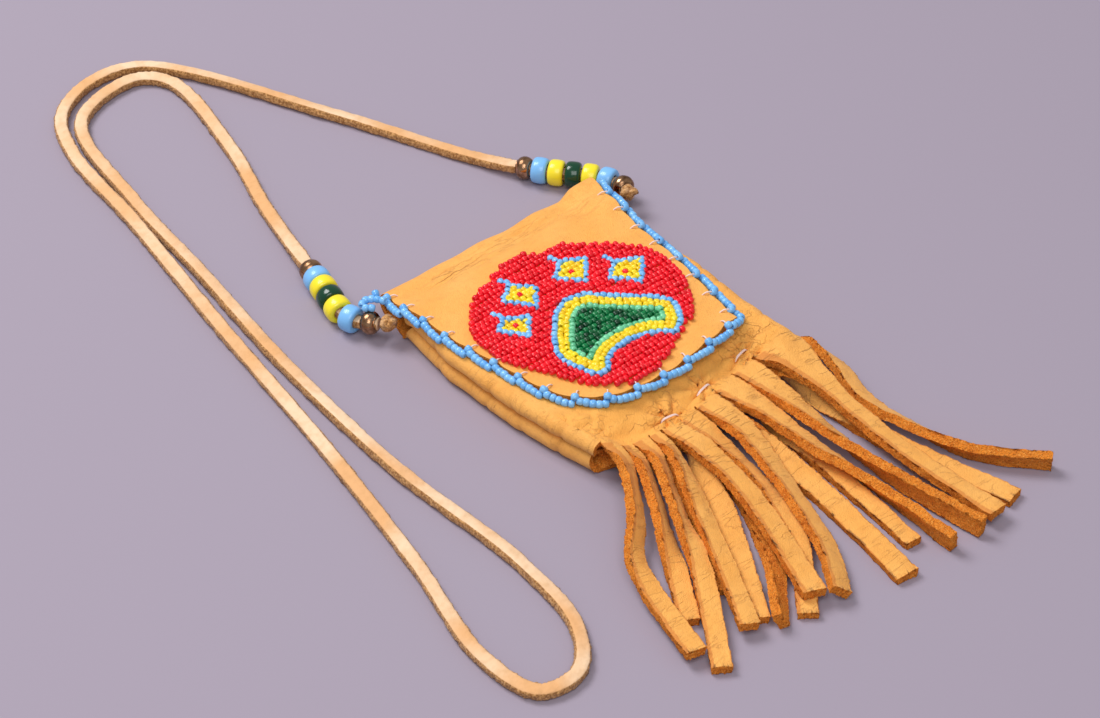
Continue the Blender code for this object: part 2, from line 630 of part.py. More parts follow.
def build_beadwork(materials, collection, parent):
    """The disc with its paw: fields of colour that stand side by side on the flap."""
    gap = FIELD_CLEAR
    disc = curve_points([Vector(p) for p in DISC], 2, closed=True)
    holes = []
    for toe, x, up in TOES:
        y = PAD_CENTRE[1] + PAD_ARC_RADIUS + up
        outer = (TOE_REACH + TOE_OUTLINE, TOE_WAIST + TOE_OUTLINE)
        holes.append(star_outline(x, y, outer[0] + gap, outer[1] + gap))
        bead_field("toe_edge_" + toe, [star_outline(x, y, *outer),
                   star_outline(x, y, TOE_REACH + gap, TOE_WAIST + gap)], False,
                   materials["blue"], collection, parent)
        bead_field("toe_" + toe, [star_outline(x, y, TOE_REACH, TOE_WAIST),
                   square_outline(x, y, TOE_HEART + gap)], True,
                   materials["yellow"], collection, parent)
        bead_field("toe_heart_" + toe, [square_outline(x, y, TOE_HEART)], False,
                   materials["red"], collection, parent)
    inset = 0.0
    holes.append(pad_outline(-gap))
    for ring, width in (("blue", PAD_BLUE), ("yellow", PAD_YELLOW), ("mint", PAD_MINT)):
        bead_field("pad_" + ring, [pad_outline(inset), pad_outline(inset + width - gap)],
                   ring == "yellow",
                   materials[ring], collection, parent)
        inset += width
    bead_field("pad_green", [pad_outline(inset)], True, materials["green"], collection, parent)
    bead_field("red_disc", [disc] + holes, True, materials["red"], collection, parent)


def turned_bead(name, diameter, length, round_end, material, collection, parent):
    """A bored bead turned from its profile, outer side from top to bottom, then back up the bore."""
    bore = THONG_DIAMETER / 2 + BORE_CLEAR
    outer = diameter / 2
    half = length / 2
    shoulder = outer - round_end
    profile = [(outer, half * 0.45), (outer, -half * 0.45), (shoulder, -half), (bore, -half),
               (bore, half), (shoulder, half)]
    bm = bmesh.new()
    verts = [bm.verts.new((x, 0.0, z)) for x, z in profile]
    for a, b in zip(verts, verts[1:] + verts[:1]):
        bm.edges.new((a, b))
    obj = object_from_bmesh(bm, name, collection)
    turn = obj.modifiers.new("turn", 'SCREW')
    turn.axis = 'Z'
    turn.steps = 10
    turn.render_steps = 10
    turn.use_merge_vertices = True
    turn.merge_threshold = 0.00001
    turn.use_normal_calculate = True
    return place(obj, material, parent)


def build_thong(materials, collection, parent):
    """The thong, the seven beads on each of its ends, and the two knots."""
    route = [Vector(p) for p in THONG_ROUTE]
    curve = bpy.data.curves.new("neck_thong", 'CURVE')
    curve.dimensions = '3D'
    curve.bevel_depth = THONG_DIAMETER / 2
    curve.bevel_resolution = 2
    curve.use_fill_caps = True
    spline = curve.splines.new('POLY')
    points = curve_points(route, THONG_POINTS_PER_SPAN)
    spline.points.add(len(points) - 1)
    for i, point in enumerate(points):
        spline.points[i].co = (*point, 1.0)
    thong = bpy.data.objects.new("neck_thong", curve)
    collection.objects.link(thong)
    place(thong, materials["thong"], parent)

    line = curve_points(route, 12)
    for side, steps in (("left", LEFT_STEPS), ("right", RIGHT_STEPS)):
        used = {}
        distance = STACK_START
        for i, kind in enumerate(STACK):
            used[kind] = used.get(kind, 0) + 1
            size = (PONY_DIAMETER, PONY_LENGTH, 0.0011)
            if kind == "brass":
                size = (BRASS_DIAMETER, BRASS_LENGTH, 0.0014)
            name = f"{side}_{kind}_bead_{used[kind]}"
            bead = turned_bead(name, *size, materials[kind], collection, parent)
            where, along = point_along(line if side == "left" else line[::-1], distance)
            bead.location = where
            bead.rotation_mode = 'QUATERNION'
            bead.rotation_quaternion = along.to_track_quat('Z', 'Y')
            distance += steps[min(i, len(steps) - 1)]


def build_knot(name, centre, material, collection, parent):
    """A knot of the thong drawn hard, as a ball with the grooves between its turns."""
    bm = bmesh.new()
    bmesh.ops.create_icosphere(bm, subdivisions=2, radius=KNOT_RADIUS)
    for vert in bm.verts:
        way = vert.co.normalized()
        groove = abs(math.sin(3.0 * (way.x + way.z) + 0.8)) * (1.0 - abs(way.y)) + abs(way.y)
        vert.co = way * (KNOT_RADIUS - KNOT_GROOVE * (1.0 - groove)) + Vector(centre)
    return place(object_from_bmesh(bm, name, collection), material, parent)


def main():
    clear_scene()
    collection = bpy.data.collections.new("medicine_bag")
    bpy.context.scene.collection.children.link(collection)
    bag = bpy.data.objects.new("bag", None)
    bag.location = (*FOLD_PLACE, 0.0)
    collection.objects.link(bag)
    hinge = bpy.data.objects.new("flap_hinge_axis", None)
    hinge.location = (0.0, FOLD_Y, AXIS_HEIGHT)
    hinge.parent = bag
    collection.objects.link(hinge)

    hide = make_material("tan_buckskin", (0.87, 0.42, 0.12), 0.75)
    beads = {
        "blue": make_material("light_blue_glass", (0.16, 0.47, 0.87), 0.25),
        "yellow": make_material("yellow_glass", (0.95, 0.78, 0.04), 0.25),
        "red": make_material("red_glass", (0.68, 0.015, 0.03), 0.2),
        "mint": make_material("mint_glass", (0.15, 0.60, 0.33), 0.25),
        "green": make_material("dark_green_glass", (0.005, 0.10, 0.04), 0.15),
        "brass": make_material("aged_brass", (0.28, 0.15, 0.08), 0.35, 1.0),
        "thong": make_material("pale_thong", (0.85, 0.60, 0.34), 0.8),
    }
    build_panel("front_panel", True, FRONT_STRIPS, CORNER_STRIP, hide, collection, bag)
    build_panel("back_panel", False, BACK_STRIPS, SIDE_STRIP, hide, collection, bag)
    build_flap(hide, collection, hinge)
    edge = even_points(flap_edge_line(), SEED_PITCH / 2)
    edge = edge[:len(edge) - 1 + len(edge) % 2]
    bead_string("flap_edge_beads", edge, beads["blue"], collection, hinge)
    curl = even_points(curve_points([Vector(p) for p in CORNER_CURL], 6), SEED_PITCH / 2)
    curl = curl[:len(curl) - 1 + len(curl) % 2]
    bead_string("corner_bead_curl", curl, beads["blue"], collection, bag)
    build_beadwork(beads, collection, hinge)
    build_thong(beads, collection, bag)
    build_knot("left_knot", LEFT_KNOT, beads["thong"], collection, bag)
    build_knot("right_knot", RIGHT_KNOT, beads["thong"], collection, bag)


main()
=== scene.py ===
# %% [markdown]
# A small hide pouch with a beaded flap, lying on its back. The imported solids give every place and
# size. This script dresses them: soft hide with wrinkles and a fringe, about two thousand glass
# beads, a flat neck thong, thread, and the plain table that it all lies on.
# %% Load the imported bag
import math
import random

import bmesh
import bpy
from mathutils import Matrix, Vector, noise
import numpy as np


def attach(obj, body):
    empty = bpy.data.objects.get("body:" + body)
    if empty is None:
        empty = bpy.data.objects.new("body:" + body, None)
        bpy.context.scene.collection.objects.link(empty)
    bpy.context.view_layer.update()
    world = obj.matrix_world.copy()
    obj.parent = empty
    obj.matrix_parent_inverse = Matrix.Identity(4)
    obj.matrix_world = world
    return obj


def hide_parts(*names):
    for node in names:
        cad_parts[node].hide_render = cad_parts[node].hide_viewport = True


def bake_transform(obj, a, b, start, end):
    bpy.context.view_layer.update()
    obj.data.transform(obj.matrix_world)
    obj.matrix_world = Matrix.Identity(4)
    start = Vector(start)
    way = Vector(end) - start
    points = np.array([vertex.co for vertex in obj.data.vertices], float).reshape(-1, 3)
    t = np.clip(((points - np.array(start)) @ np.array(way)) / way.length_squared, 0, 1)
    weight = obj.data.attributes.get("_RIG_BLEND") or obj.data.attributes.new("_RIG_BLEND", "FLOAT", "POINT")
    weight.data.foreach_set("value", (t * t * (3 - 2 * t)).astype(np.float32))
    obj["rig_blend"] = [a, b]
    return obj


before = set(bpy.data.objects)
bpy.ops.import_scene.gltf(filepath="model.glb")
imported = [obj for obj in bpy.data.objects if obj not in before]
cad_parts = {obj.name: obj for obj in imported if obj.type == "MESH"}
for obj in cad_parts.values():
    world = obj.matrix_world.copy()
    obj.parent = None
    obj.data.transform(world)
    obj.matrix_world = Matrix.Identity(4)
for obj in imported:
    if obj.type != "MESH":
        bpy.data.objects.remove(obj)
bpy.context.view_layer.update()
BAG = Vector((0.0008, 0.09755, 0.0))

# %% [markdown]
# Every table of places below is measured from the middle of the fold, as in the part's source, and
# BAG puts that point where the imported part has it. The camera comes first, because the thong's
# room is judged from it. It has a long lens, so the far end of the thong is hardly smaller.
# %% Camera at the photograph's angle
VIEW = Vector((0.4777, 0.5692, -0.6691)).normalized()
RIGHT = Vector((0.766, -0.643, 0.0)).normalized()
camera_data = bpy.data.cameras.new("photo_camera")
camera_data.lens = 111.6
camera_data.sensor_width = 36.0
camera_data.clip_start = 0.01
camera = bpy.data.objects.new("photo_camera", camera_data)
bpy.context.scene.collection.objects.link(camera)
turned = Matrix((RIGHT, RIGHT.cross(VIEW), -VIEW)).transposed().to_4x4()
camera.matrix_world = Matrix.Translation(Vector((-0.5424, -0.6772, 0.7360)) + BAG) @ turned
bpy.context.scene.camera = camera
print("camera stands", round((camera.location - BAG).length, 3), "m from the fold")

# %% [markdown]
# Smooth lines are needed everywhere: for the thong, the fringe, the flap's edge and the strings of beads. A
# centripetal curve passes through given points without overshooting where they are unevenly spaced, and it
# is the same curve as the solids follow.
# %% Smooth lines through points
def smooth(t):
    t = min(max(t, 0.0), 1.0)
    return t * t * (3.0 - 2.0 * t)


def read_line(stations, at):
    if at <= stations[0][0]:
        return stations[0][1]
    for (a, value_a), (b, value_b) in zip(stations, stations[1:]):
        if at <= b:
            return value_a + (value_b - value_a) * (at - a) / (b - a)
    return stations[-1][1]


def curve_point(points, place, closed=False):
    count = len(points)
    span = int(math.floor(place))
    if not closed:
        span = min(max(span, 0), count - 2)
    t = place - span

    def at(i):
        if closed:
            return Vector(points[i % count])
        if i < 0:
            return 2 * Vector(points[0]) - Vector(points[1])
        if i >= count:
            return 2 * Vector(points[-1]) - Vector(points[-2])
        return Vector(points[i])

    before, start, end, after = at(span - 1), at(span), at(span + 1), at(span + 2)
    k1 = max((start - before).length, 1e-6) ** 0.5
    k2 = k1 + max((end - start).length, 1e-6) ** 0.5
    k3 = k2 + max((after - end).length, 1e-6) ** 0.5
    u = k1 + (k2 - k1) * t
    a1 = before * ((k1 - u) / k1) + start * (u / k1)
    a2 = start * ((k2 - u) / (k2 - k1)) + end * ((u - k1) / (k2 - k1))
    a3 = end * ((k3 - u) / (k3 - k2)) + after * ((u - k2) / (k3 - k2))
    b1 = a1 * ((k2 - u) / k2) + a2 * (u / k2)
    b2 = a2 * ((k3 - u) / (k3 - k1)) + a3 * ((u - k1) / (k3 - k1))
    return b1 * ((k2 - u) / (k2 - k1)) + b2 * ((u - k1) / (k2 - k1))


def curve_points(points, per_span, closed=False):
    spans = len(points) if closed else len(points) - 1
    found = [curve_point(points, i / per_span, closed) for i in range(spans * per_span)]
    if not closed:
        found.append(Vector(points[-1]))
    return found


def line_length(line):
    return sum((b - a).length for a, b in zip(line, line[1:]))


def point_along(line, distance):
    for a, b in zip(line, line[1:]):
        step = (b - a).length
        if distance <= step:
            return a.lerp(b, distance / step), (b - a).normalized()
        distance -= step
    return line[-1].copy(), (line[-1] - line[-2]).normalized()


# %% [markdown]
# Materials are small node trees. A painter keeps the calls short: it adds nodes by name, links
# sockets and sets plain values on the shader, so that each finish reads as a list of decisions.
# Patterns come from Object coordinates, because every piece stays at the origin, or from values
# kept on the mesh where a pattern follows the surface.
# %% A painter for node materials
class Painter:
    def __init__(self, name):
        self.material = bpy.data.materials.new(name)
        self.material.use_nodes = True
        self.nodes = self.material.node_tree.nodes
        self.links = self.material.node_tree.links
        self.shader = self.nodes["Principled BSDF"]
        self.place = self.add("ShaderNodeTexCoord").outputs["Object"]

    def add(self, kind, **values):
        node = self.nodes.new(kind)
        for key, value in values.items():
            setattr(node, key, value)
        return node

    def plug(self, socket, value):
        if isinstance(value, bpy.types.NodeSocket):
            self.links.new(value, socket)
        elif isinstance(value, tuple) and len(value) == 3 and socket.type == 'RGBA':
            socket.default_value = (*value, 1.0)
        else:
            socket.default_value = value

    def set(self, **values):
        for key, value in values.items():
            self.plug(self.shader.inputs[key.replace("_", " ")], value)

    def warp(self, scale, reach):
        """Object coordinates pushed about by a noise, so that lines wander."""
        node = self.add("ShaderNodeTexNoise")
        node.inputs["Scale"].default_value = scale
        self.plug(node.inputs["Vector"], self.place)
        push = self.add("ShaderNodeVectorMath", operation='MULTIPLY_ADD')
        push.inputs[1].default_value = (reach, reach, reach)
        self.plug(push.inputs[0], node.outputs["Color"])
        self.plug(push.inputs[2], self.place)
        return push.outputs[0]

    def noise(self, scale, detail=3.0, stretch=None):
        node = self.add("ShaderNodeTexNoise")
        node.inputs["Scale"].default_value = scale
        node.inputs["Detail"].default_value = detail
        place = self.place
        if stretch:
            mapping = self.add("ShaderNodeMapping")
            mapping.inputs["Scale"].default_value = stretch
            self.plug(mapping.inputs["Vector"], place)
            place = mapping.outputs["Vector"]
        self.plug(node.inputs["Vector"], place)
        return node.outputs["Fac"]

    def cells(self, scale, place=None):
        node = self.add("ShaderNodeTexVoronoi", feature='DISTANCE_TO_EDGE')
        node.inputs["Scale"].default_value = scale
        self.plug(node.inputs["Vector"], place or self.place)
        return node.outputs["Distance"]

    def lines(self, value, width):
        """One where a value crosses its middle, and nothing a little away from there."""
        node = self.add("ShaderNodeMath", operation='SUBTRACT')
        self.plug(node.inputs[0], value)
        node.inputs[1].default_value = 0.5
        away = self.add("ShaderNodeMath", operation='ABSOLUTE')
        self.plug(away.inputs[0], node.outputs[0])
        return self.ramp(away.outputs[0], 1.0, 0.0, 0.0, width)

    def times(self, a, b):
        node = self.add("ShaderNodeMath", operation='MULTIPLY')
        self.plug(node.inputs[0], a)
        self.plug(node.inputs[1], b)
        return node.outputs[0]

    def kept(self, name):
        return self.add("ShaderNodeAttribute", attribute_name=name).outputs["Fac"]

    def ramp(self, value, low, high, from_low=0.0, from_high=1.0):
        node = self.add("ShaderNodeMapRange")
        node.inputs["From Min"].default_value = from_low
        node.inputs["From Max"].default_value = from_high
        node.inputs["To Min"].default_value = low
        node.inputs["To Max"].default_value = high
        self.plug(node.inputs["Value"], value)
        return node.outputs["Result"]

    def mix(self, share, first, second, blend='MIX'):
        node = self.add("ShaderNodeMix", data_type='RGBA', blend_type=blend)
        self.plug(node.inputs["Factor"], share)
        self.plug(node.inputs[6], first)
        self.plug(node.inputs[7], second)
        return node.outputs[2]

    def sum(self, a, b, share=1.0):
        node = self.add("ShaderNodeMath", operation='MULTIPLY_ADD')
        self.plug(node.inputs[0], b)
        self.plug(node.inputs[1], share)
        self.plug(node.inputs[2], a)
        return node.outputs[0]

    def bump(self, height, depth, strength=1.0):
        node = self.add("ShaderNodeBump")
        node.inputs["Distance"].default_value = depth
        node.inputs["Strength"].default_value = strength
        self.plug(node.inputs["Height"], height)
        self.set(Normal=node.outputs["Normal"])


# %% [markdown]
# Tanned hide has two faces. The outer one is smooth and golden, with soft mottling and fine pores; painted
# shade darkens its creases, folds and cracks, and a painted warm bounce light turns it more orange where it
# is wrinkled, most of all on the bare front. The inner face and every cut edge are brown nap, with painted
# shade between its fibres and painted highlights on their tips. Two materials, one for each, go on every
# hide, and the wall's modifier gives the inner side and the rim the second.
# %% Hide and nap
def hide_face(name, pale, golden, dark):
    paint = Painter(name)
    patchy = paint.ramp(paint.noise(120.0, 2.0), 0.0, 1.0, 0.38, 0.54)
    long_lines = paint.times(paint.lines(paint.noise(170.0, 2.0), 0.022), patchy)
    patchy = paint.ramp(paint.noise(150.0, 2.0, (1.0, 1.1, 0.9)), 0.0, 0.75, 0.40, 0.56)
    short_lines = paint.times(paint.lines(paint.noise(330.0, 1.0), 0.022), patchy)
    creases = paint.times(paint.sum(long_lines, short_lines), paint.kept("wrinkled"))
    wavy = paint.lines(paint.noise(1.0, 2.5, (95.0, 430.0, 95.0)), 0.045)
    folds = paint.times(wavy, paint.ramp(paint.kept("folded"), 0.0, 0.65))
    crossing = paint.lines(paint.noise(1.0, 3.0, (60.0, 290.0, 60.0)), 0.020)
    cracks = paint.times(paint.times(crossing, patchy), paint.kept("rolled"))
    dips = paint.sum(paint.sum(creases, folds), cracks)
    blotches = paint.ramp(paint.noise(70.0, 4.0), 0.0, 1.0, 0.32, 0.68)
    colour = paint.mix(blotches, golden, pale)
    colour = paint.mix(paint.ramp(paint.noise(240.0, 5.0), 0.0, 0.16, 0.50, 0.75), colour, dark)
    specks = paint.ramp(paint.noise(950.0, 2.0), 0.0, 0.25, 0.55, 0.8)
    colour = paint.mix(specks, colour, dark)
    # painted warm bounce light: where the kept value wrinkled is high, most of all on the bare front hide
    # below the flap, the colour turns a more saturated orange
    colour = paint.mix(paint.ramp(paint.kept("wrinkled"), 0.0, 1.1), colour, (0.98, 0.43, 0.072))
    # painted shade: the crease, fold and crack lines (dips) and the kept crease depth turn the colour dark
    # brown, where shade would fall in them
    colour = paint.mix(paint.ramp(dips, 0.0, 0.72), colour, (0.47, 0.155, 0.027))
    colour = paint.mix(paint.ramp(paint.kept("crease"), 0.0, 0.60), colour, (0.50, 0.17, 0.030))
    wool = paint.sum(paint.kept("worn"), paint.noise(650.0, 3.0), 0.8)
    colour = paint.mix(paint.ramp(wool, 0.0, 0.95, 0.90, 1.30), colour, (0.74, 0.27, 0.050))
    paint.set(Base_Color=colour, Roughness=0.62, Sheen_Weight=0.06, Sheen_Roughness=0.5)
    paint.set(Specular_IOR_Level=0.30)
    pores = paint.ramp(paint.cells(1500.0), 0.0, 1.0, 0.0, 0.25)
    grain = paint.sum(pores, paint.noise(420.0, 5.0, (1.0, 1.7, 1.0)), 1.8)
    grain = paint.sum(grain, paint.noise(1400.0, 3.0), paint.kept("worn"))
    puffed = paint.times(paint.ramp(paint.noise(190.0, 2.0), 0.0, 0.45), paint.kept("wrinkled"))
    height = paint.sum(puffed, grain, 0.10)
    paint.bump(paint.sum(height, dips, -0.45), 0.0009, 1.0)
    return paint.material


def nap(name, light, middle, dark):
    paint = Painter(name)
    patches = paint.ramp(paint.noise(350.0, 4.0), 0.0, 1.0, 0.35, 0.65)
    colour = paint.mix(patches, middle, light)
    # painted shade darkens the gaps between the fibres, and painted highlights light their tips
    fibre_gap_shade = paint.ramp(paint.noise(2100.0, 4.0), 0.0, 0.75, 0.50, 0.66)
    colour = paint.mix(fibre_gap_shade, colour, dark)
    fibre_tip_highlight = paint.ramp(paint.noise(1900.0, 3.0, (1.0, 1.2, 0.9)), 0.0, 0.8, 0.55, 0.67)
    colour = paint.mix(fibre_tip_highlight, colour, (1.0, 0.46, 0.10))
    paint.set(Base_Color=colour, Roughness=0.95, Sheen_Weight=0.06, Sheen_Roughness=0.45)
    paint.set(Sheen_Tint=(1.0, 0.55, 0.22), Specular_IOR_Level=0.1)
    paint.bump(paint.sum(paint.noise(1500.0, 4.0), paint.noise(4500.0, 2.0), 0.5), 0.0007, 1.0)
    return paint.material


HIDE_GOLD = hide_face("golden_hide", (0.96, 0.475, 0.115), (0.92, 0.415, 0.083), (0.42, 0.135, 0.024))
HIDE_NAP = nap("brown_nap", (0.94, 0.30, 0.036), (0.72, 0.195, 0.022), (0.32, 0.072, 0.008))
print("hide finishes:", HIDE_GOLD.name, HIDE_NAP.name)

# %% [markdown]
# The neck thong is a flat strip, pale and smooth on its faces and tan and woolly on its cut edges.
# It is made as a closed ring of section that is extruded from place to place along the route. The
# ring's narrow sides keep a value, edge, that the finish reads. Inside the beads the strip is
# squeezed rounder, and on the table it lies flat.
# %% Sweep a section along a line
def section_ring(bm, points, edge_value):
    edge = bm.verts.layers.float.get("edge") or bm.verts.layers.float.new("edge")
    circle = bmesh.ops.create_circle(bm, segments=points, radius=1.0)["verts"]
    for vert in circle:
        x, y = vert.co.x, vert.co.y
        vert.co.x = math.copysign(abs(x) ** 0.5, x)
        vert.co.y = math.copysign(abs(y) ** 0.5, y)
        vert[edge] = edge_value(vert.co.x)
    edges = {e for v in circle for e in v.link_edges}
    return circle, list(edges)


def sweep(bm, line, size, turn, points=16, edge_value=lambda x: 0.0):
    """Extrude a ring along the line; size and turn give its half width, half height and roll."""
    verts, edges = section_ring(bm, points, edge_value)
    first, reached = verts, Matrix.Identity(4)
    run = 0.0
    for i, place in enumerate(line):
        along = (line[min(i + 1, len(line) - 1)] - line[max(i - 1, 0)]).normalized()
        across = Vector((along.y, -along.x, 0.0)).normalized()
        run += (place - line[i - 1]).length if i else 0.0
        tilt = Matrix.Rotation(turn(run), 3, along)
        across = tilt @ across
        up = across.cross(along)
        wide, high = size(run)
        axes = Matrix((across * wide, up * high, along)).transposed().to_4x4()
        wanted = Matrix.Translation(place) @ axes
        if i:
            fresh = bmesh.ops.extrude_edge_only(bm, edges=edges)["geom"]
            verts = [g for g in fresh if isinstance(g, bmesh.types.BMVert)]
            edges = [g for g in fresh if isinstance(g, bmesh.types.BMEdge)]
        bmesh.ops.transform(bm, matrix=wanted @ reached.inverted(), verts=verts)
        reached = wanted
    bmesh.ops.contextual_create(bm, geom=verts)
    bmesh.ops.contextual_create(bm, geom=first)


def finished(bm, name, materials, body, replaced=()):
    bmesh.ops.translate(bm, verts=bm.verts, vec=BAG)
    mesh = bpy.data.meshes.new(name)
    for face in bm.faces:
        face.smooth = True
    bm.to_mesh(mesh)
    bm.free()
    for material in materials:
        mesh.materials.append(material)
    piece = bpy.data.objects.new(name, mesh)
    bpy.context.scene.collection.objects.link(piece)
    if body:
        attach(piece, body)
    if replaced:
        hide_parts(*replaced)
    print(name, len(mesh.polygons), "faces")
    return piece


# %% Neck thong, its route and its finish
THONG_ROUTE = [
    (-0.0531, -0.0078, 0.0066), (-0.0549, -0.0043, 0.0057), (-0.0564, -0.0014, 0.0051),
    (-0.0575, 0.0018, 0.0049), (-0.0579, 0.0055, 0.0049), (-0.0572, 0.0100, 0.0049),
    (-0.0554, 0.0171, 0.0049), (-0.0528, 0.0276, 0.0044), (-0.0428, 0.0680, 0.0022),
    (-0.0330, 0.1010, 0.0022), (-0.0272, 0.1455, 0.0022), (-0.0365, 0.1550, 0.0022),
    (-0.0640, 0.1468, 0.0022), (-0.0750, 0.0990, 0.0022), (-0.0792, 0.0550, 0.0022),
    (-0.0852, 0.0000, 0.0022), (-0.0876, -0.0620, 0.0022), (-0.0843, -0.1160, 0.0022),
    (-0.0882, -0.1480, 0.0022), (-0.1000, -0.1628, 0.0022), (-0.1135, -0.1612, 0.0022),
    (-0.1176, -0.1400, 0.0022), (-0.1088, -0.0980, 0.0022), (-0.0990, -0.0400, 0.0022),
    (-0.0900, 0.0300, 0.0022), (-0.0812, 0.0900, 0.0022), (-0.0764, 0.1335, 0.0022),
    (-0.0675, 0.1538, 0.0022), (-0.0490, 0.1634, 0.0022), (-0.0295, 0.1594, 0.0022),
    (0.0060, 0.0935, 0.0022), (0.0270, 0.0460, 0.0022), (0.0356, 0.0264, 0.0044),
    (0.0420, 0.0165, 0.0049), (0.0482, 0.0090, 0.0049), (0.0508, 0.0055, 0.0049),
    (0.0528, 0.0018, 0.0050), (0.0538, -0.0020, 0.0054), (0.0538, -0.0052, 0.0061),
    (0.0527, -0.0080, 0.0070),
]
THONG_WIDTH = 0.0049
THONG_THICK = 0.0032
STACK_REACH = 0.0420
thong_line = curve_points(THONG_ROUTE, 12)
thong_length = line_length(thong_line)


def thong_size(run):
    free = smooth((min(run, thong_length - run) - STACK_REACH + 0.002) / 0.006)
    wide = 0.0021 + (THONG_WIDTH / 2 - 0.0021) * free
    return wide * (1.0 + 0.06 * noise.noise(Vector((run * 90.0, 3.0, 0.0)))), THONG_THICK / 2


def thong_turn(run):
    free = smooth((min(run, thong_length - run) - STACK_REACH) / 0.02)
    return free * (0.25 * noise.noise(Vector((run * 11.0, 0.0, 7.0))) - 0.12)


def thong_finish():
    paint = Painter("pale_thong")
    length = paint.ramp(paint.noise(26.0, 2.0), 0.0, 1.0, 0.40, 0.60)
    face = paint.mix(length, (0.80, 0.43, 0.19), (0.90, 0.64, 0.42))
    face = paint.mix(paint.ramp(paint.noise(320.0, 4.0), 0.0, 0.35, 0.45, 0.7), face, (0.62, 0.33, 0.13))
    wool = paint.ramp(paint.noise(1300.0, 4.0), 0.0, 1.0, 0.4, 0.65)
    side = paint.mix(wool, (0.34, 0.14, 0.035), (0.74, 0.40, 0.15))
    worn = paint.sum(paint.kept("edge"), paint.noise(420.0, 4.0), 0.7)
    colour = paint.mix(paint.ramp(worn, 0.0, 1.0, 0.52, 0.90), face, side)
    paint.set(Base_Color=colour, Roughness=0.8, Sheen_Weight=0.2, Specular_IOR_Level=0.2)
    rough = paint.sum(paint.noise(500.0, 4.0), paint.noise(2600.0, 3.0), paint.kept("edge"))
    paint.bump(rough, 0.0005, 0.8)
    return paint.material


THONG_PALE = thong_finish()
bm = bmesh.new()
sweep(bm, curve_points(THONG_ROUTE, 36), thong_size, thong_turn, 20,
      lambda x: smooth((abs(x) - 0.70) / 0.3))
edge = bm.verts.layers.float["edge"]
bm.normal_update()
for vert in bm.verts:
    woolly = noise.noise(vert.co * 1300.0) * 0.00050 * vert[edge] + noise.noise(vert.co * 400.0) * 0.00018
    vert.co += vert.normal * woolly
    vert.co.z = max(vert.co.z - 0.0003, 0.0003)
thong = finished(bm, "thong", [THONG_PALE], "pouch", ["neck_thong"])
print("thong is", round(thong_length, 3), "m long")

# %% [markdown]
# Seven beads sit on each end of the thong: brass, blue, yellow, green, yellow, blue, brass. The round-edged
# pony beads are turned on a lathe in effect, so a profile is spun about the bead's axis. They are opaque and
# glossy, and the brass is old.
# %% Glossy beads and aged brass
def glass(name, colour, shade, roughness=0.17, coat=0.30):
    paint = Painter(name)
    tone = paint.mix(paint.kept("tone"), colour, shade)
    tone = paint.mix(paint.ramp(paint.noise(160.0, 2.0), 0.0, 0.25, 0.4, 0.7), tone, shade)
    paint.set(Base_Color=tone, Roughness=roughness, Coat_Weight=coat, Coat_Roughness=roughness * 0.6)
    paint.set(Specular_IOR_Level=0.40)
    paint.bump(paint.noise(900.0, 2.0), 0.00003, 0.5)
    return paint.material


def aged_brass():
    paint = Painter("aged_brass")
    tarnish = paint.ramp(paint.noise(420.0, 5.0), 0.0, 1.0, 0.38, 0.66)
    colour = paint.mix(tarnish, (0.52, 0.30, 0.17), (0.15, 0.072, 0.035))
    paint.set(Base_Color=colour, Metallic=1.0, Roughness=paint.ramp(tarnish, 0.16, 0.36))
    paint.bump(paint.noise(1200.0, 4.0), 0.00005, 0.6)
    return paint.material


FINISH = {
    "blue": glass("light_blue_glass", (0.235, 0.56, 0.96), (0.13, 0.42, 0.86)),
    "yellow": glass("yellow_glass", (0.96, 0.76, 0.020), (0.90, 0.56, 0.008)),
    "red": glass("red_glass", (1.0, 0.010, 0.026), (0.76, 0.004, 0.014), 0.20, 0.2),
    "mint": glass("mint_glass", (0.20, 0.68, 0.38), (0.10, 0.48, 0.24)),
    "green": glass("dark_green_glass", (0.001, 0.22, 0.060), (0.0, 0.012, 0.006), 0.07, 0.25),
}
PONY = {
    "blue": glass("light_blue_pony_bead", (0.215, 0.52, 0.93), (0.16, 0.45, 0.88), 0.26, 0.2),
    "yellow": glass("yellow_pony_bead", (0.96, 0.80, 0.030), (0.92, 0.70, 0.015), 0.26, 0.2),
    "green": glass("dark_green_pony_bead", (0.002, 0.050, 0.022), (0.001, 0.026, 0.012), 0.18, 0.3),
    "brass": aged_brass(),
}
STACK = ("brass", "blue", "yellow", "green", "yellow", "blue", "brass")
STACK_START = 0.0029
STEPS = {"left": (0.0073, 0.0067, 0.0058, 0.0055, 0.0054, 0.0054),
         "right": (0.0072, 0.0063, 0.0059, 0.0058, 0.0057, 0.0057)}
print("finishes:", sorted(FINISH), sorted(PONY))

# %% Turn the thong's beads
def turned_bead(radius, length, bore, roundness):
    """Spin a bead's closed profile; roundness is how much of the end its shoulder takes."""
    bm = bmesh.new()
    half = length / 2
    profile = [(bore, -half * 0.9), (bore, half * 0.9), (bore + 0.0003, half)]
    for k in range(9):
        a = math.pi / 2 - math.pi * k / 8
        out = radius - roundness + roundness * math.cos(a)
        profile.append((out, half * math.sin(a) ** 1 if roundness > 0.002 else half
                        * math.copysign(abs(math.sin(a)) ** 0.6, math.sin(a))))
    profile.append((bore + 0.0003, -half))
    verts = [bm.verts.new((x, 0.0, z)) for x, z in profile]
    edges = [bm.edges.new((a, b)) for a, b in zip(verts, verts[1:] + verts[:1])]
    bmesh.ops.spin(bm, geom=verts + edges, axis=(0, 0, 1), cent=(0, 0, 0), angle=2 * math.pi,
                   steps=36, use_merge=True)
    bmesh.ops.remove_doubles(bm, verts=bm.verts, dist=1e-7)
    bmesh.ops.recalc_face_normals(bm, faces=bm.faces)
    return bm


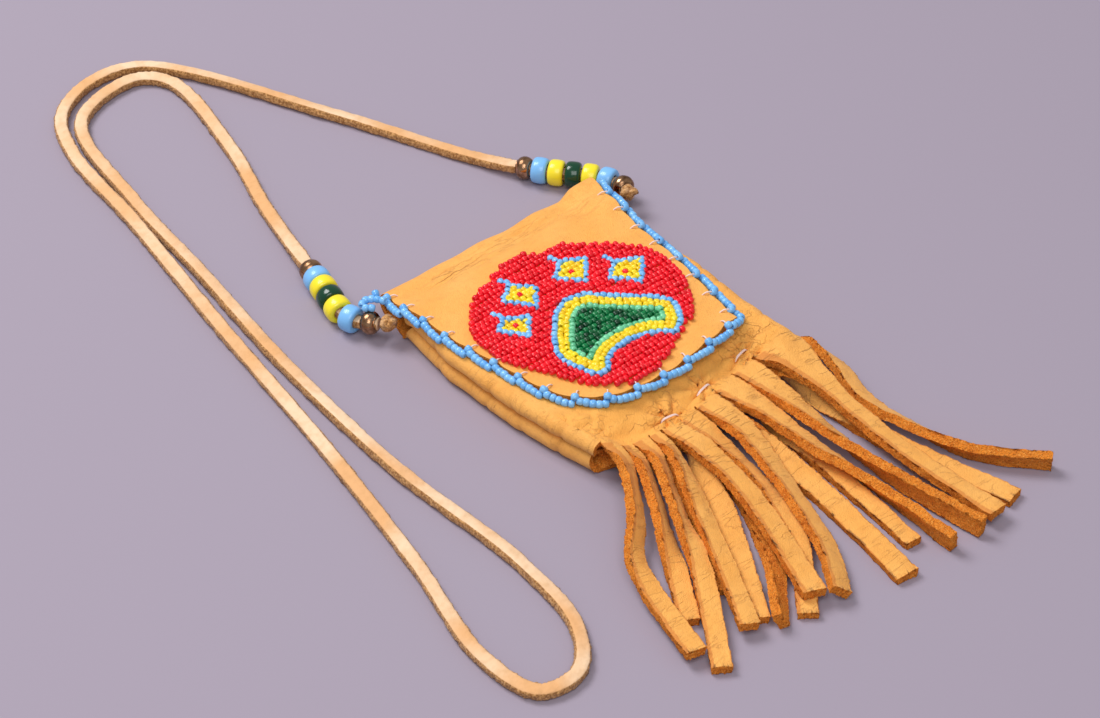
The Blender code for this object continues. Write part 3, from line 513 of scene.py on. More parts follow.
for side, steps in STEPS.items():
    line = thong_line if side == "left" else thong_line[::-1]
    distance, used = STACK_START, {}
    for i, kind in enumerate(STACK):
        used[kind] = used.get(kind, 0) + 1
        if kind == "brass":
            bm = turned_bead(0.0040, 0.0052, 0.0023, 0.0021)
        else:
            bm = turned_bead(0.0046, 0.0053, 0.0024, 0.0012)
        where, along = point_along(line, distance)
        turn = along.to_track_quat('Z', 'Y').to_matrix().to_4x4()
        bmesh.ops.transform(bm, matrix=Matrix.Translation(where) @ turn, verts=bm.verts)
        node = f"{side}_{kind}_bead_{used[kind]}"
        bead = finished(bm, f"{side}_{kind}_{used[kind]}", [PONY[kind]], "pouch", [node])
        distance += steps[min(i, len(steps) - 1)]

# %% [markdown]
# The thong ends in a hard knot at each top corner of the pouch. A knot is the same flat strip wound
# round itself, so a short coil of it, drawn tight, gives the lump with its grooves.
# %% Knots at the pouch's corners
KNOTS = {"left": Vector((-0.0518, -0.0110, 0.0078)), "right": Vector((0.0511, -0.0110, 0.0082))}


def build_knot(side, centre):
    bm = bmesh.new()
    sign = -1.0 if side == "left" else 1.0
    line = []
    for k in range(40):
        a = k / 39 * 2.6 * math.tau
        lean = 0.0008 * math.sin(a * 0.5 + 0.6)
        line.append(centre + Vector((sign * 0.0014 * math.cos(a) + lean,
                                     -0.0016 + 0.0032 * k / 39, 0.0014 * math.sin(a))))
    sweep(bm, line, lambda run: (0.0011, 0.0010), lambda run: 0.0, 10, lambda x: 0.55)
    for vert in bm.verts:
        vert.co += vert.normal * noise.noise(vert.co * 800.0) * 0.0002
    return finished(bm, side + "_thong_knot", [THONG_PALE], "pouch", [side + "_knot"])


knots = [build_knot(side, centre) for side, centre in KNOTS.items()]

# %% [markdown]
# The pouch is two hides. Each is one sheet: flat in the middle, its side edges curled back into a
# roll, and its lower edge cut into strips. A grid is created and every point of it is mapped by a
# formula, where the column says how far across and round the roll it is, and the row how far down.
# The values are those of the solids, so the hides lie on them exactly.
# %% Sizes of the pouch
HIDE = 0.0018
CLEAR = 0.0003
FOLD_Y = -0.0042
AXIS_HEIGHT = 0.0046
BACK_Z = 0.0010
LIP_RADIUS = AXIS_HEIGHT - BACK_Z
FLAP_RADIUS = LIP_RADIUS + HIDE + CLEAR
FOLD_HALF_WIDTH = 0.0450
ROLL = 0.0070
FLAP_RISE = 0.0047
FLAP_RISE_RUN = 0.0180
MOUTH_Y = -0.0125
ROLL_RUN_IN = 0.0055
EDGE_SPREAD = 0.0030
EDGE_SWEEP = 8.0
ROLL_SWEEP = 185.0
STITCH_PINCH = 0.0040
PINCH_RUN = 0.0140
PINCH_MARGIN = 0.0090
SIDE_LEFT = [(-0.104, 0.0420), (-0.070, 0.0480), (-0.040, 0.0500), (-0.012, 0.0470)]
SIDE_RIGHT = [(-0.104, 0.0440), (-0.094, 0.0418), (-0.080, 0.0412), (-0.060, 0.0420),
              (-0.040, 0.0412), (-0.012, 0.0425)]
ROOT_LINE = [(-0.042, -0.0990), (-0.034, -0.1055), (-0.012, -0.1075), (0.005, -0.1040),
             (0.016, -0.1015), (0.044, -0.0975)]
STRIP_EASE = 0.012
STRIP_WIDEN = 0.034
print("pouch from y", MOUTH_Y, "to", ROOT_LINE[2][1])


# %% Where a point of a hide lies
def flap_middle(y):
    v = FOLD_Y - y
    if v < 0.0:
        angle = math.pi / 2 + v / FLAP_RADIUS
        return FOLD_Y + FLAP_RADIUS * math.cos(angle), AXIS_HEIGHT + FLAP_RADIUS * math.sin(angle)
    return y, AXIS_HEIGHT + FLAP_RADIUS + FLAP_RISE * smooth(v / FLAP_RISE_RUN)


def front_height(y):
    slope = (flap_middle(y - 0.0005)[1] - flap_middle(y + 0.0005)[1]) / 0.001
    return flap_middle(y)[1] - (HIDE + CLEAR) * math.hypot(1.0, slope)


def root_y(x):
    return read_line(ROOT_LINE, x)


def pinch(x, y):
    inner = read_line(SIDE_LEFT if x < 0 else SIDE_RIGHT, y) - ROLL / 2
    down = 1.0 - smooth((y - root_y(x) - 0.002) / PINCH_RUN)
    across = 1.0 - smooth((abs(x) - inner + PINCH_MARGIN) / PINCH_MARGIN)
    return down * across


def roll_section(table, y, flat_z, front):
    rolled = smooth((MOUTH_Y - y) / ROLL_RUN_IN)
    outer_radius = (flat_z + HIDE / 2 - ROLL - CLEAR) / 2 if front else ROLL / 2
    whole_sweep = ROLL_SWEEP
    if table is SIDE_LEFT:
        near_end = smooth((-0.080 - y) / 0.016)
        whole_sweep += (-60.0 if front else 125.0) * near_end
        outer_radius += (0.0 if front else 0.0006) * near_end
    full = outer_radius - HIDE / 2
    sweep_angle = math.radians(EDGE_SWEEP + (whole_sweep - EDGE_SWEEP) * rolled)
    length = EDGE_SPREAD + (full * math.radians(whole_sweep) - EDGE_SPREAD) * rolled
    radius = length / sweep_angle
    reach = radius * math.sin(min(sweep_angle, math.pi / 2)) + HIDE / 2 * rolled
    return read_line(table, y) - reach, radius, sweep_angle


def panel_point(column, share, front):
    """A point of a hide's middle surface; a column is ('flat', x) or ('left', share of the roll)."""
    kind, value = column
    right = kind == "right" or (kind == "flat" and value > 0)
    table = SIDE_RIGHT if right else SIDE_LEFT
    sign = 1.0 if right else -1.0
    bottom_inner = table[0][1] - ROLL / 2
    bottom_x = value if kind == "flat" else sign * bottom_inner
    y = MOUTH_Y + (root_y(bottom_x) - MOUTH_Y) * share
    if kind == "left" and not front:
        y += 0.0022 * smooth(value * 2.0) * share ** 8
    flat_z = front_height(y) if front else BACK_Z
    inner, radius, sweep_angle = roll_section(table, y, flat_z, front)
    if kind == "flat":
        full = STITCH_PINCH if front else -(front_height(y) - STITCH_PINCH - HIDE - CLEAR - BACK_Z)
        return Vector((value * inner / bottom_inner, y, flat_z - full * pinch(value, y)))
    turn = sweep_angle * value
    drop = radius * (1.0 - math.cos(turn))
    x = sign * (inner + radius * math.sin(turn))
    return Vector((x, y, flat_z - drop if front else flat_z + drop))


# %% [markdown]
# The fringe is the hide's own lower edge, cut into strips. From the last row of the grid, each strip's edges
# are extruded through the places that it passes. The strips are limp: they lean on each other, turn on edge
# and show the brown nap of their cut side, as the listed turns say.
# %% Places of the fringe
FRONT_STRIPS = [
    (-0.0385, -0.0343, 0.0065, [(-0.0377, -0.1115, 0.0103, 50), (-0.0490, -0.130, 0.0078, 60),
                                (-0.0585, -0.140, 0.0058, 45), (-0.0635, -0.153, 0.0045, 12),
                                (-0.0700, -0.181, 0.0042, 0)]),
    (-0.0337, -0.0296, 0.0062, [(-0.0326, -0.114, 0.0083, 52), (-0.0381, -0.126, 0.0064, 60),
                                (-0.0447, -0.138, 0.0046, 55), (-0.0518, -0.152, 0.0025, 12),
                                (-0.0614, -0.1685, 0.0012, 0)]),
    (-0.0290, -0.0236, 0.0062, [(-0.0270, -0.114, 0.0085, 50), (-0.0326, -0.127, 0.0068, 58),
                                (-0.0387, -0.140, 0.0058, 50), (-0.0434, -0.151, 0.0054, 22),
                                (-0.0508, -0.164, 0.0038, 3), (-0.0670, -0.189, 0.0016, 0)]),
    (-0.0230, -0.0191, 0.0062, [(-0.0222, -0.116, 0.0088, 44), (-0.0265, -0.129, 0.0072, 38),
                                (-0.0320, -0.142, 0.0058, 22), (-0.0435, -0.168, 0.0046, 12),
                                (-0.0508, -0.183, 0.0042, 6)]),
    (-0.0185, -0.0111, 0.0075, [(-0.0137, -0.121, 0.0086, 12), (-0.0148, -0.141, 0.0070, 16),
                                (-0.0192, -0.160, 0.0058, 14), (-0.0272, -0.186, 0.0046, 6)]),
    (-0.0105, -0.0036, 0.0062, [(-0.0064, -0.120, 0.0064, 24), (-0.0068, -0.137, 0.0045, 38),
                                (-0.0100, -0.152, 0.0042, 22), (-0.0150, -0.166, 0.0022, 4),
                                (-0.0325, -0.189, 0.0013, 0)]),
    (-0.0030, 0.0059, 0.0070, [(0.0025, -0.121, 0.0080, 18), (-0.0012, -0.141, 0.0060, 28),
                               (-0.0068, -0.161, 0.0052, 36), (-0.0112, -0.174, 0.0048, 36),
                               (-0.0205, -0.190, 0.0042, 34)]),
    (0.0065, 0.0159, 0.0068, [(0.0135, -0.121, 0.0078, 16), (0.0155, -0.142, 0.0062, 34),
                              (0.0192, -0.164, 0.0046, 62), (0.0206, -0.1965, 0.0038, 84)]),
    (0.0165, 0.0264, 0.0066, [(0.0224, -0.118, 0.0080, 14), (0.0236, -0.140, 0.0062, 44),
                              (0.0260, -0.162, 0.0046, 74), (0.0292, -0.182, 0.0040, 92),
                              (0.0322, -0.1975, 0.0038, 98)]),
]
CORNER_STRIP = (0.0270, 0.0405, 0.0068, [(0.0362, -0.118, 0.0084, 8), (0.0356, -0.142, 0.0062, 14),
                                         (0.0362, -0.163, 0.0050, 14), (0.0396, -0.1965, 0.0042, 6)])
BACK_STRIPS = [
    (-0.0385, -0.0270, 0.0, None),
    (-0.0270, -0.0215, 0.0060, [(-0.0262, -0.120, 0.0034, 0), (-0.0300, -0.137, 0.0012, 0),
                                (-0.0368, -0.153, 0.0012, 0), (-0.0448, -0.166, 0.0012, 0)]),
    (-0.0165, -0.0095, 0.0072, [(-0.0154, -0.119, 0.0040, 90), (-0.0208, -0.136, 0.0018, 172),
                                (-0.0280, -0.151, 0.0014, 178), (-0.0455, -0.181, 0.0014, 180)]),
    (-0.0080, -0.0020, 0.0060, [(-0.0083, -0.119, 0.0022, 0), (-0.0120, -0.136, 0.0013, 0),
                                (-0.0190, -0.154, 0.0013, 0), (-0.0262, -0.167, 0.0024, 30),
                                (-0.0415, -0.1868, 0.0034, 60)]),
    (0.0010, 0.0080, 0.0075, [(0.0066, -0.119, 0.0040, 90), (0.0072, -0.138, 0.0016, 178),
                              (0.0056, -0.162, 0.0012, 180), (0.0014, -0.1965, 0.0013, 180)]),
    (0.0110, 0.0170, 0.0056, [(0.0155, -0.120, 0.0038, 90), (0.0158, -0.140, 0.0016, 178),
                              (0.0146, -0.165, 0.0012, 180), (0.0128, -0.1875, 0.0013, 180)]),
    (0.0290, 0.0360, 0.0068, [(0.0338, -0.118, 0.0040, 90), (0.0370, -0.138, 0.0016, 178),
                              (0.0402, -0.156, 0.0012, 180), (0.0506, -0.1935, 0.0013, 180)]),
]
SIDE_STRIP = (0.0395, 0.0405, 0.0066, [(0.0480, -0.104, 0.0046, -105), (0.0478, -0.117, 0.0048, -145),
                                       (0.0439, -0.133, 0.0044, -150), (0.0474, -0.155, 0.0040, -135),
                                       (0.0540, -0.173, 0.0038, -112), (0.0692, -0.1910, 0.0037, -102)])
print("strips:", len(FRONT_STRIPS) + len(BACK_STRIPS) + 1)


# %% Cross lines of a strip
def strip_rows(root, places, width, per_span=11):
    middle = sum(root, Vector()) / len(root)
    root_width = (root[-1] - root[0]).length
    path = [Vector((*middle, 0.0))]
    path += [Vector((x, y, z, math.radians(turn) * 0.01)) for x, y, z, turn in places]
    found = curve_points(path, per_span)
    rows, run = [], 0.0
    for i in range(1, len(found)):
        here, ahead = found[i], found[min(i + 1, len(found) - 1)]
        along = Vector((ahead - found[i - 1])[:3]).normalized()
        run += Vector((here - found[i - 1])[:3]).length
        across = Vector((-along.y, along.x, 0.0)).normalized()
        up = along.cross(across)
        wide = across * math.cos(here[3] * 100.0) - up * math.sin(here[3] * 100.0)
        full = root_width + (width - root_width) * smooth(run / STRIP_WIDEN)
        full *= 1.0 + 0.07 * noise.noise(Vector((run * 60.0, places[0][0] * 900.0, 0.0)))
        centre = Vector(here[:3])
        row = []
        for j, start in enumerate(root):
            s = j / (len(root) - 1) - 0.5
            flat = centre + wide * full * s
            row.append((start + centre - middle).lerp(flat, smooth(run / STRIP_EASE)))
        rows.append((run, row))
    return rows

# %% [markdown]
# Soft hide is never plain. It swells gently, fine creases run over it, the rolls have cracks across them,
# and the three bottom stitches draw folds out of the hide round them. All of it is moved along the surface's
# own normal, and the depth of a crease is kept, so that the finish paints shade into it.
# %% Relief of the hide
STITCHES = [Vector((0.024, -0.097, 0.0)), Vector((0.004, -0.1015, 0.0)),
            Vector((-0.013, -0.1045, 0.0))]


def line_of(value, width):
    return max(0.0, 1.0 - abs(value) / width) ** 1.5


def crinkle(p, size, stretch=1.0):
    """Puffed cells with creases between them: how full, and how deep in a crease."""
    q = Vector((p.x / stretch, p.y, p.z)) / size
    wander = Vector((noise.noise(q * 0.9), noise.noise(q * 0.9 + Vector((7.0, 3.0, 1.0))), 0.0))
    near = noise.voronoi(q + wander * 0.75)[0]
    gap = near[1] - near[0]
    return smooth(gap / 0.65), max(0.0, 1.0 - gap / 0.13)


def stitch_folds(p):
    """Folds that run out from the bottom stitches: a height, and how deep it lies."""
    height = deep = 0.0
    for k, stitch in enumerate(STITCHES):
        away = Vector((p.x - stitch.x, p.y - stitch.y))
        distance = away.length
        if 0.0005 < distance < 0.026:
            angle = math.atan2(away.y, away.x)
            wave = math.cos(8.0 * angle + 2.0 * k + 1.3 * noise.noise(p * 120.0))
            fade = math.exp(-distance / 0.0068) * smooth(distance / 0.003)
            height += wave * fade
            deep += max(0.0, -wave - 0.74) * fade * 2.8
    return height, deep


def hide_relief(p, wrinkled):
    """How far the surface moves out, and how deep it lies in a crease."""
    swell = noise.noise(p * 55.0) * 0.0004
    big, big_crease = crinkle(p, 0.0066, 1.4)
    gate = smooth(0.5 + 1.6 * noise.noise(p * 90.0 + Vector((0.0, 4.0, 0.0))))
    out = swell + wrinkled * (big * 0.0009 - 0.0004)
    return out, wrinkled * big_crease * 0.16 * gate


def roll_cracks(p):
    """Along the side rolls: slow swelling, cross folds and fine cracks."""
    slow = noise.noise(Vector((0.0, p.y * 75.0, 2.0))) * 0.0005
    across = noise.noise(Vector((p.x * 60.0, p.y * 330.0, p.z * 60.0)))
    gate = smooth(noise.noise(p * 60.0 + Vector((3.0, 1.0, 0.0))) * 2.0 + 0.5)
    crack = line_of(across, 0.13) * gate
    fold = 0.0
    for y, lean in ((-0.033, 0.35), (-0.058, -0.3), (-0.071, 0.5), (-0.088, -0.2)):
        fold += math.exp(-((p.y - y - lean * (p.z - 0.006)) / 0.0011) ** 2)
    return slow - crack * 0.00010 - fold * 0.0005, crack * 0.12 + fold * 0.25


def strip_relief(p, run, side, near):
    """A strip has small cross folds, a soft crown, and a worn, woolly edge."""
    across = noise.noise(Vector((run * 430.0, side * 0.7, run * 3.0)))
    gate = smooth(0.5 + 1.8 * noise.noise(Vector((run * 60.0, side * 0.4, 5.0))))
    cross = line_of(across, 0.17) * gate
    lump = noise.noise(p * 170.0) * 0.00040 + noise.noise(p * 420.0) * 0.00018
    strip, reached = divmod(run, 10.0)
    shown = 0.62 * (1.0 - smooth(reached / 0.030)) if strip < 4.5 else 0.0
    frayed = max(smooth((abs(side) - 0.74) / 0.26), smooth((-side * near - 0.42 + shown) / 0.30) * near)
    crown = (1.0 - side * side) * 0.0002
    return lump + crown - cross * 0.00022, cross * 0.20, frayed

# %% Build a hide of the pouch
ACROSS = 8
ROLL_FINE = 14
ROWS = 96
STRIP_WALL = 0.0030


def hide_columns(strips, corner, closed):
    """Columns across a hide; closed ones have both sides of every slit on one line."""
    spans = [list(s[:2]) for s in strips] + [list(corner[:2])]
    if closed:
        for left, right in zip(spans, spans[1:]):
            left[1] = right[0] = (left[1] + right[0]) / 2
    columns = [("left", 1.0 - i / ROLL_FINE) for i in range(ROLL_FINE)]
    for x0, x1 in spans:
        columns += [("flat", x0 + (x1 - x0) * k / ACROSS) for k in range(ACROSS + 1)]
    return columns + [("right", (i + 1) / ROLL_FINE) for i in range(ROLL_FINE)]


def build_hide(name, front, strips, corner, node):
    opened = hide_columns(strips, corner, False)
    closed = hide_columns(strips, corner, True)
    bm = bmesh.new()
    bm.verts.layers.int.new("column")
    for layer in ("rolled", "crease", "run", "side", "worn", "wrinkled"):
        bm.verts.layers.float.new(layer)
    place = bm.verts.layers.int["column"]
    rolled, run, side = (bm.verts.layers.float[k] for k in ("rolled", "run", "side"))
    bmesh.ops.create_grid(bm, x_segments=len(opened) - 1, y_segments=ROWS, size=1.0)
    bottom = {}
    for vert in bm.verts:
        i = round((vert.co.x + 1.0) / 2.0 * (len(opened) - 1))
        row = round((1.0 - vert.co.y) / 2.0 * ROWS)
        column = opened[i] if row == ROWS else closed[i]
        vert[place] = i
        vert[rolled] = 0.0 if column[0] == "flat" else 1.0
        vert.co = panel_point(column, row / ROWS, front)
        if row == ROWS:
            bottom[i] = vert
    for k, strip in enumerate(strips + [corner]):
        if not strip[3]:
            continue
        first = ROLL_FINE + k * (ACROSS + 1)
        reach = ACROSS + (ROLL_FINE // 2 if strip is corner else 0)
        columns = set(range(first, first + reach + 1))
        root = [bottom[i].co.copy() for i in sorted(columns)]
        edges = {e for i in columns for e in bottom[i].link_edges
                 if all(v[place] in columns and v is bottom.get(v[place]) for v in e.verts)}
        edges = list(edges)
        for reached, row in strip_rows(root, strip[3], strip[2]):
            fresh = bmesh.ops.extrude_edge_only(bm, edges=edges)["geom"]
            edges = [g for g in fresh if isinstance(g, bmesh.types.BMEdge)]
            for vert in (g for g in fresh if isinstance(g, bmesh.types.BMVert)):
                vert.co = row[vert[place] - first]
                vert[rolled] = 0.5 + 0.4 * (1.0 - smooth(reached / 0.05))
                vert[run] = reached + 10.0 * (k + 1)
                vert[side] = 2.0 * (vert[place] - first) / reach - 1.0
    bmesh.ops.remove_doubles(bm, verts=bm.verts, dist=1e-6)
    bm.normal_update()
    up = sum((f.normal.z for f in bm.faces if abs(f.calc_center_median().x) < 0.03
              and f.calc_center_median().y > -0.09), 0.0)
    if (up > 0) != front:
        bmesh.ops.reverse_faces(bm, faces=bm.faces)
        bm.normal_update()
    carve_hide(bm, front)
    thick = [smooth((v[run] % 10.0 - 0.001) / 0.008) if v[run] > 0.5 else 0.0 for v in bm.verts]
    piece = finished(bm, name, [HIDE_GOLD, HIDE_NAP, HIDE_NAP], "pouch", [node])
    add_wall(piece, thick)
    fray(piece)
    return piece


def bare_share(p):
    """Where the front hide shows: below the flap, and beside it on the right."""
    below = smooth((-0.080 - p.y) / 0.008)
    beside = smooth((p.x - 0.034) / 0.005) * smooth((-0.030 - p.y) / 0.020) * 0.6
    return max(below, beside)


def carve_hide(bm, front):
    rolled, crease, run, side, worn, wrinkled = (
        bm.verts.layers.float[k] for k in ("rolled", "crease", "run", "side", "worn", "wrinkled"))
    moved = []
    for vert in bm.verts:
        p = vert.co.copy()
        if vert[run] > 0.5:
            out, deep, frayed = strip_relief(p, vert[run], vert[side], 1.0 if front else 0.0)
            sideways = noise.noise(p * 1100.0) * 0.00025 * frayed
            moved.append((vert, vert.normal * out + Vector((sideways, 0.0, 0.0)), deep))
            vert[worn] = frayed
            vert[wrinkled] = 0.08
            continue
        bare = bare_share(p) if front else 0.3
        out, deep = hide_relief(p, bare)
        vert[wrinkled] = 0.5 * bare
        if front:
            gathered, pulled = stitch_folds(p)
            out = out * (0.12 + 0.88 * bare) + gathered * 0.0015 * bare
            deep += pulled * bare
        if vert[rolled] > 0.5:
            out, crack = roll_cracks(p)
            deep = deep * 0.4 + crack
            vert[wrinkled] = 0.08
            vert[rolled] = 0.45
        moved.append((vert, vert.normal * out, deep))
    for vert, shift, deep in moved:
        vert.co += shift
        vert[crease] = min(max(deep, 0.0), 1.0)


def add_wall(piece, thick):
    """Give a sheet its thickness: the strips are full, and the pouch's hide is drawn thinner."""
    group = piece.vertex_groups.new(name="thickness")
    thin = HIDE / STRIP_WALL
    for i, full in enumerate(thick):
        group.add([i], thin + (1.0 - thin) * full, 'REPLACE')
    wall = piece.modifiers.new("wall", 'SOLIDIFY')
    wall.thickness = STRIP_WALL
    wall.vertex_group = "thickness"
    wall.offset = 0.0
    wall.use_quality_normals = True
    wall.material_offset = 1
    wall.material_offset_rim = 2
    softened = piece.modifiers.new("softened_edge", 'BEVEL')
    softened.width = 0.0005
    softened.segments = 2
    softened.limit_method = 'ANGLE'
    softened.angle_limit = math.radians(50)
    softened.material = 2


def fray(piece):
    """Settle the wall, then cut the rim into small faces and push its points about: woolly edges."""
    settled = piece.evaluated_get(bpy.context.evaluated_depsgraph_get())
    mesh = bpy.data.meshes.new_from_object(settled)
    piece.modifiers.clear()
    piece.data = mesh
    bm = bmesh.new()
    bm.from_mesh(mesh)
    run = bm.verts.layers.float["run"]
    rim = [f for f in bm.faces if f.material_index == 2]
    edges = {e for f in rim for e in f.edges if e.calc_length() > 0.0006}
    bmesh.ops.subdivide_edges(bm, edges=list(edges), cuts=2, use_grid_fill=True)
    bm.normal_update()
    rim_verts = {v for f in bm.faces if f.material_index == 2 for v in f.verts}
    for vert, normal in [(v, v.normal.copy()) for v in rim_verts]:
        p = vert.co
        loose = 1.0 if vert[run] > 0.5 else 0.45
        push = noise.noise(p * 1500.0) * 0.00035 + noise.noise(p * 3100.0) * 0.00025
        vert.co += normal * push * loose
    for vert in bm.verts:
        vert.co.z = max(vert.co.z, 0.0001)
    bm.to_mesh(mesh)
    bm.free()
    print(piece.name, "with woolly edges:", len(mesh.polygons), "faces")


front_hide = build_hide("front_hide", True, FRONT_STRIPS, CORNER_STRIP, "front_panel")
back_hide = build_hide("back_hide", False, BACK_STRIPS, SIDE_STRIP, "back_panel")

# %% [markdown]
# The flap is the back hide's upper end: it comes up from under the bag, turns over the fold and
# lies on the front. It is one sheet here, and it bends: its lower end stays with the pouch, its
# upper end goes with the flap, and the fold between them turns smoothly as the flap opens.
# %% The flap's outline
FLAP_LEFT = [(-0.0460, FOLD_Y), (-0.0470, -0.018), (-0.0462, -0.036), (-0.0425, -0.055),
             (-0.0387, -0.074), (-0.0350, -0.0820)]
FLAP_BOTTOM = [(-0.0350, -0.0820), (-0.0260, -0.0893), (-0.0140, -0.0924), (0.0020, -0.0927),
               (0.0180, -0.0909), (0.0300, -0.0882)]
FLAP_RIGHT = [(0.0430, FOLD_Y), (0.0403, -0.011), (0.0385, -0.020), (0.0366, -0.032),
              (0.0352, -0.053), (0.0325, -0.071), (0.0300, -0.0882)]
outline = curve_points(FLAP_LEFT, 24) + curve_points(FLAP_BOTTOM, 24)[1:]
outline += list(reversed(curve_points(FLAP_RIGHT, 24)))[1:]
edge_length = line_length(outline)
SCALLOPS = 23
SCALLOP_DEPTH = 0.0007
edge_runs = [0.0]
for a, b in zip(outline, outline[1:]):
    edge_runs.append(edge_runs[-1] + (b - a).length)
print("flap's beaded edge is", round(edge_length * 1000), "mm long, with", SCALLOPS, "scallops")


def scalloped(points, place):
    """A place on one side of the outline, drawn in where a stitch pulls the edge."""
    p = curve_point(points, place)
    nearest = min(range(len(outline)), key=lambda k: (outline[k] - p).length_squared)
    share = edge_runs[nearest] / edge_length * SCALLOPS
    pull = 1.0 - abs(math.sin(math.pi * share))
    a, b = outline[max(nearest - 1, 0)], outline[min(nearest + 1, len(outline) - 1)]
    along = (b - a).normalized()
    inward = Vector((-along.y, along.x))
    return p + inward * SCALLOP_DEPTH * pull

# %% Build the flap with its fold
FLAP_ACROSS = 110
FLAP_DOWN = 100
FOLD_ROWS = 18
flap_count = FOLD_ROWS + FLAP_DOWN


def scalloped_side(points, count):
    return [scalloped(points, i / count * (len(points) - 1)) for i in range(count + 1)]


side_left = scalloped_side(FLAP_LEFT, FLAP_DOWN)
side_right = scalloped_side(FLAP_RIGHT, FLAP_DOWN)
low_edge = scalloped_side(FLAP_BOTTOM, FLAP_ACROSS)
low_edge[0] = side_left[-1].copy()
low_edge[-1] = side_right[-1].copy()


def flap_plan(i, j):
    """Plan place of the flap's grid point: the patch that fits its four edges."""
    t, s = i / FLAP_DOWN, j / FLAP_ACROSS
    fold = side_left[0].lerp(side_right[0], s)
    ends = fold.lerp(low_edge[0].lerp(low_edge[-1], s), t)
    return side_left[i].lerp(side_right[i], s) + fold.lerp(low_edge[j], t) - ends


def fold_point(i, j):
    """A point of the turn from under the bag to the flap, i from 0 at the mouth."""
    t, s = i / FOLD_ROWS, j / FLAP_ACROSS
    flat_rows = 4
    half = FOLD_HALF_WIDTH + 0.0016 * (1.0 - smooth(i / flat_rows))
    x = -half + 2.0 * half * s
    if i <= flat_rows:
        return Vector((x, MOUTH_Y + (FOLD_Y - MOUTH_Y) * i / flat_rows, BACK_Z))
    a = math.pi * (i - flat_rows) / (FOLD_ROWS - flat_rows) - math.pi / 2
    radius = LIP_RADIUS + (FLAP_RADIUS - LIP_RADIUS) * smooth((a + math.pi / 2) / math.pi)
    x = x + (side_left[0].lerp(side_right[0], s).x - x) * t
    return Vector((x, FOLD_Y + radius * math.cos(a), AXIS_HEIGHT + radius * math.sin(a)))


def flap_lift(p):
    """The right end of the fold stands up like an ear, and the lower right edge curls a little."""
    ear = smooth((p.x - 0.0290) / 0.0060) * smooth((p.z - 0.004) / 0.006)
    run = smooth((p.x - 0.000) / 0.012) * smooth((0.034 - p.x) / 0.008)
    raised = 0.0030 * ear * smooth((p.y + 0.030) / 0.024)
    return raised + 0.0012 * run * smooth((-0.082 - p.y) / 0.008)


FOLD_PATCHES = [(-0.021, -0.0095, 0.013, 0.0045, 1.0), (0.004, -0.0080, 0.020, 0.0055, 0.6),
                (0.030, -0.0130, 0.009, 0.0070, 0.5)]


def folded_share(p):
    """How strongly fine creases run along the fold here: in three patches, and nowhere else."""
    share = 0.0
    for x0, y0, wide, high, strength in FOLD_PATCHES:
        inside_x = smooth(1.3 - abs(p.x - x0) / wide)
        inside_y = smooth(1.3 - abs(p.y - y0) / high)
        share = max(share, strength * inside_x * inside_y)
    return share


bm = bmesh.new()
for layer in ("crease", "wrinkled", "folded"):
    bm.verts.layers.float.new(layer)
crease, wrinkled, folded = (bm.verts.layers.float[k] for k in ("crease", "wrinkled", "folded"))
bmesh.ops.create_grid(bm, x_segments=FLAP_ACROSS, y_segments=flap_count, size=1.0)
for vert in bm.verts:
    j = round((vert.co.x + 1.0) / 2.0 * FLAP_ACROSS)
    i = round((1.0 - vert.co.y) / 2.0 * flap_count)
    if i < FOLD_ROWS:
        vert.co = fold_point(i, j)
    else:
        plan = flap_plan(i - FOLD_ROWS, j)
        vert.co = Vector((plan.x, *flap_middle(plan.y)))
bm.normal_update()
if sum(f.normal.z for f in bm.faces if f.calc_center_median().z > 0.012) < 0:
    bmesh.ops.reverse_faces(bm, faces=bm.faces)
    bm.normal_update()
for vert, normal in [(v, v.normal.copy()) for v in bm.verts]:
    p = vert.co.copy()
    out, deep = hide_relief(p, 0.06)
    share = folded_share(p) * smooth((p.z - 0.006) / 0.003)
    wave = noise.noise(Vector((p.x * 80.0, 0.0, 9.0))) * smooth((p.y + 0.022) / 0.018)
    ripple = noise.noise(Vector((p.x * 120.0, p.y * 420.0, 3.0))) * share
    vert.co += normal * (out * 0.7 + wave * 0.0007 + ripple * 0.0012)
    vert.co.z += flap_lift(p)
    vert[crease] = min(1.0, deep * 0.3)
    vert[folded] = share
    vert[wrinkled] = 0.10
flap_points = len(bm.verts)
flap_hide = finished(bm, "flap_hide", [HIDE_GOLD, HIDE_NAP, HIDE_NAP], None, ["flap"])
add_wall(flap_hide, [0.0] * flap_points)
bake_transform(flap_hide, "pouch", "flap", start=(0, 0, 0.0015), end=(0, 0, 0.0095))

# %% [markdown]
# Seed beads are short glass barrels with a hole. One is turned once, with few faces, and copied
# along lines of thread: a copy of its mesh is moved into place and added to the field's mesh. Each
# copy keeps a value of its own, tone, so that no two neighbours have quite the same colour.
# %% One seed bead
SEED_RADIUS = 0.00108
SEED_PITCH = 0.00185


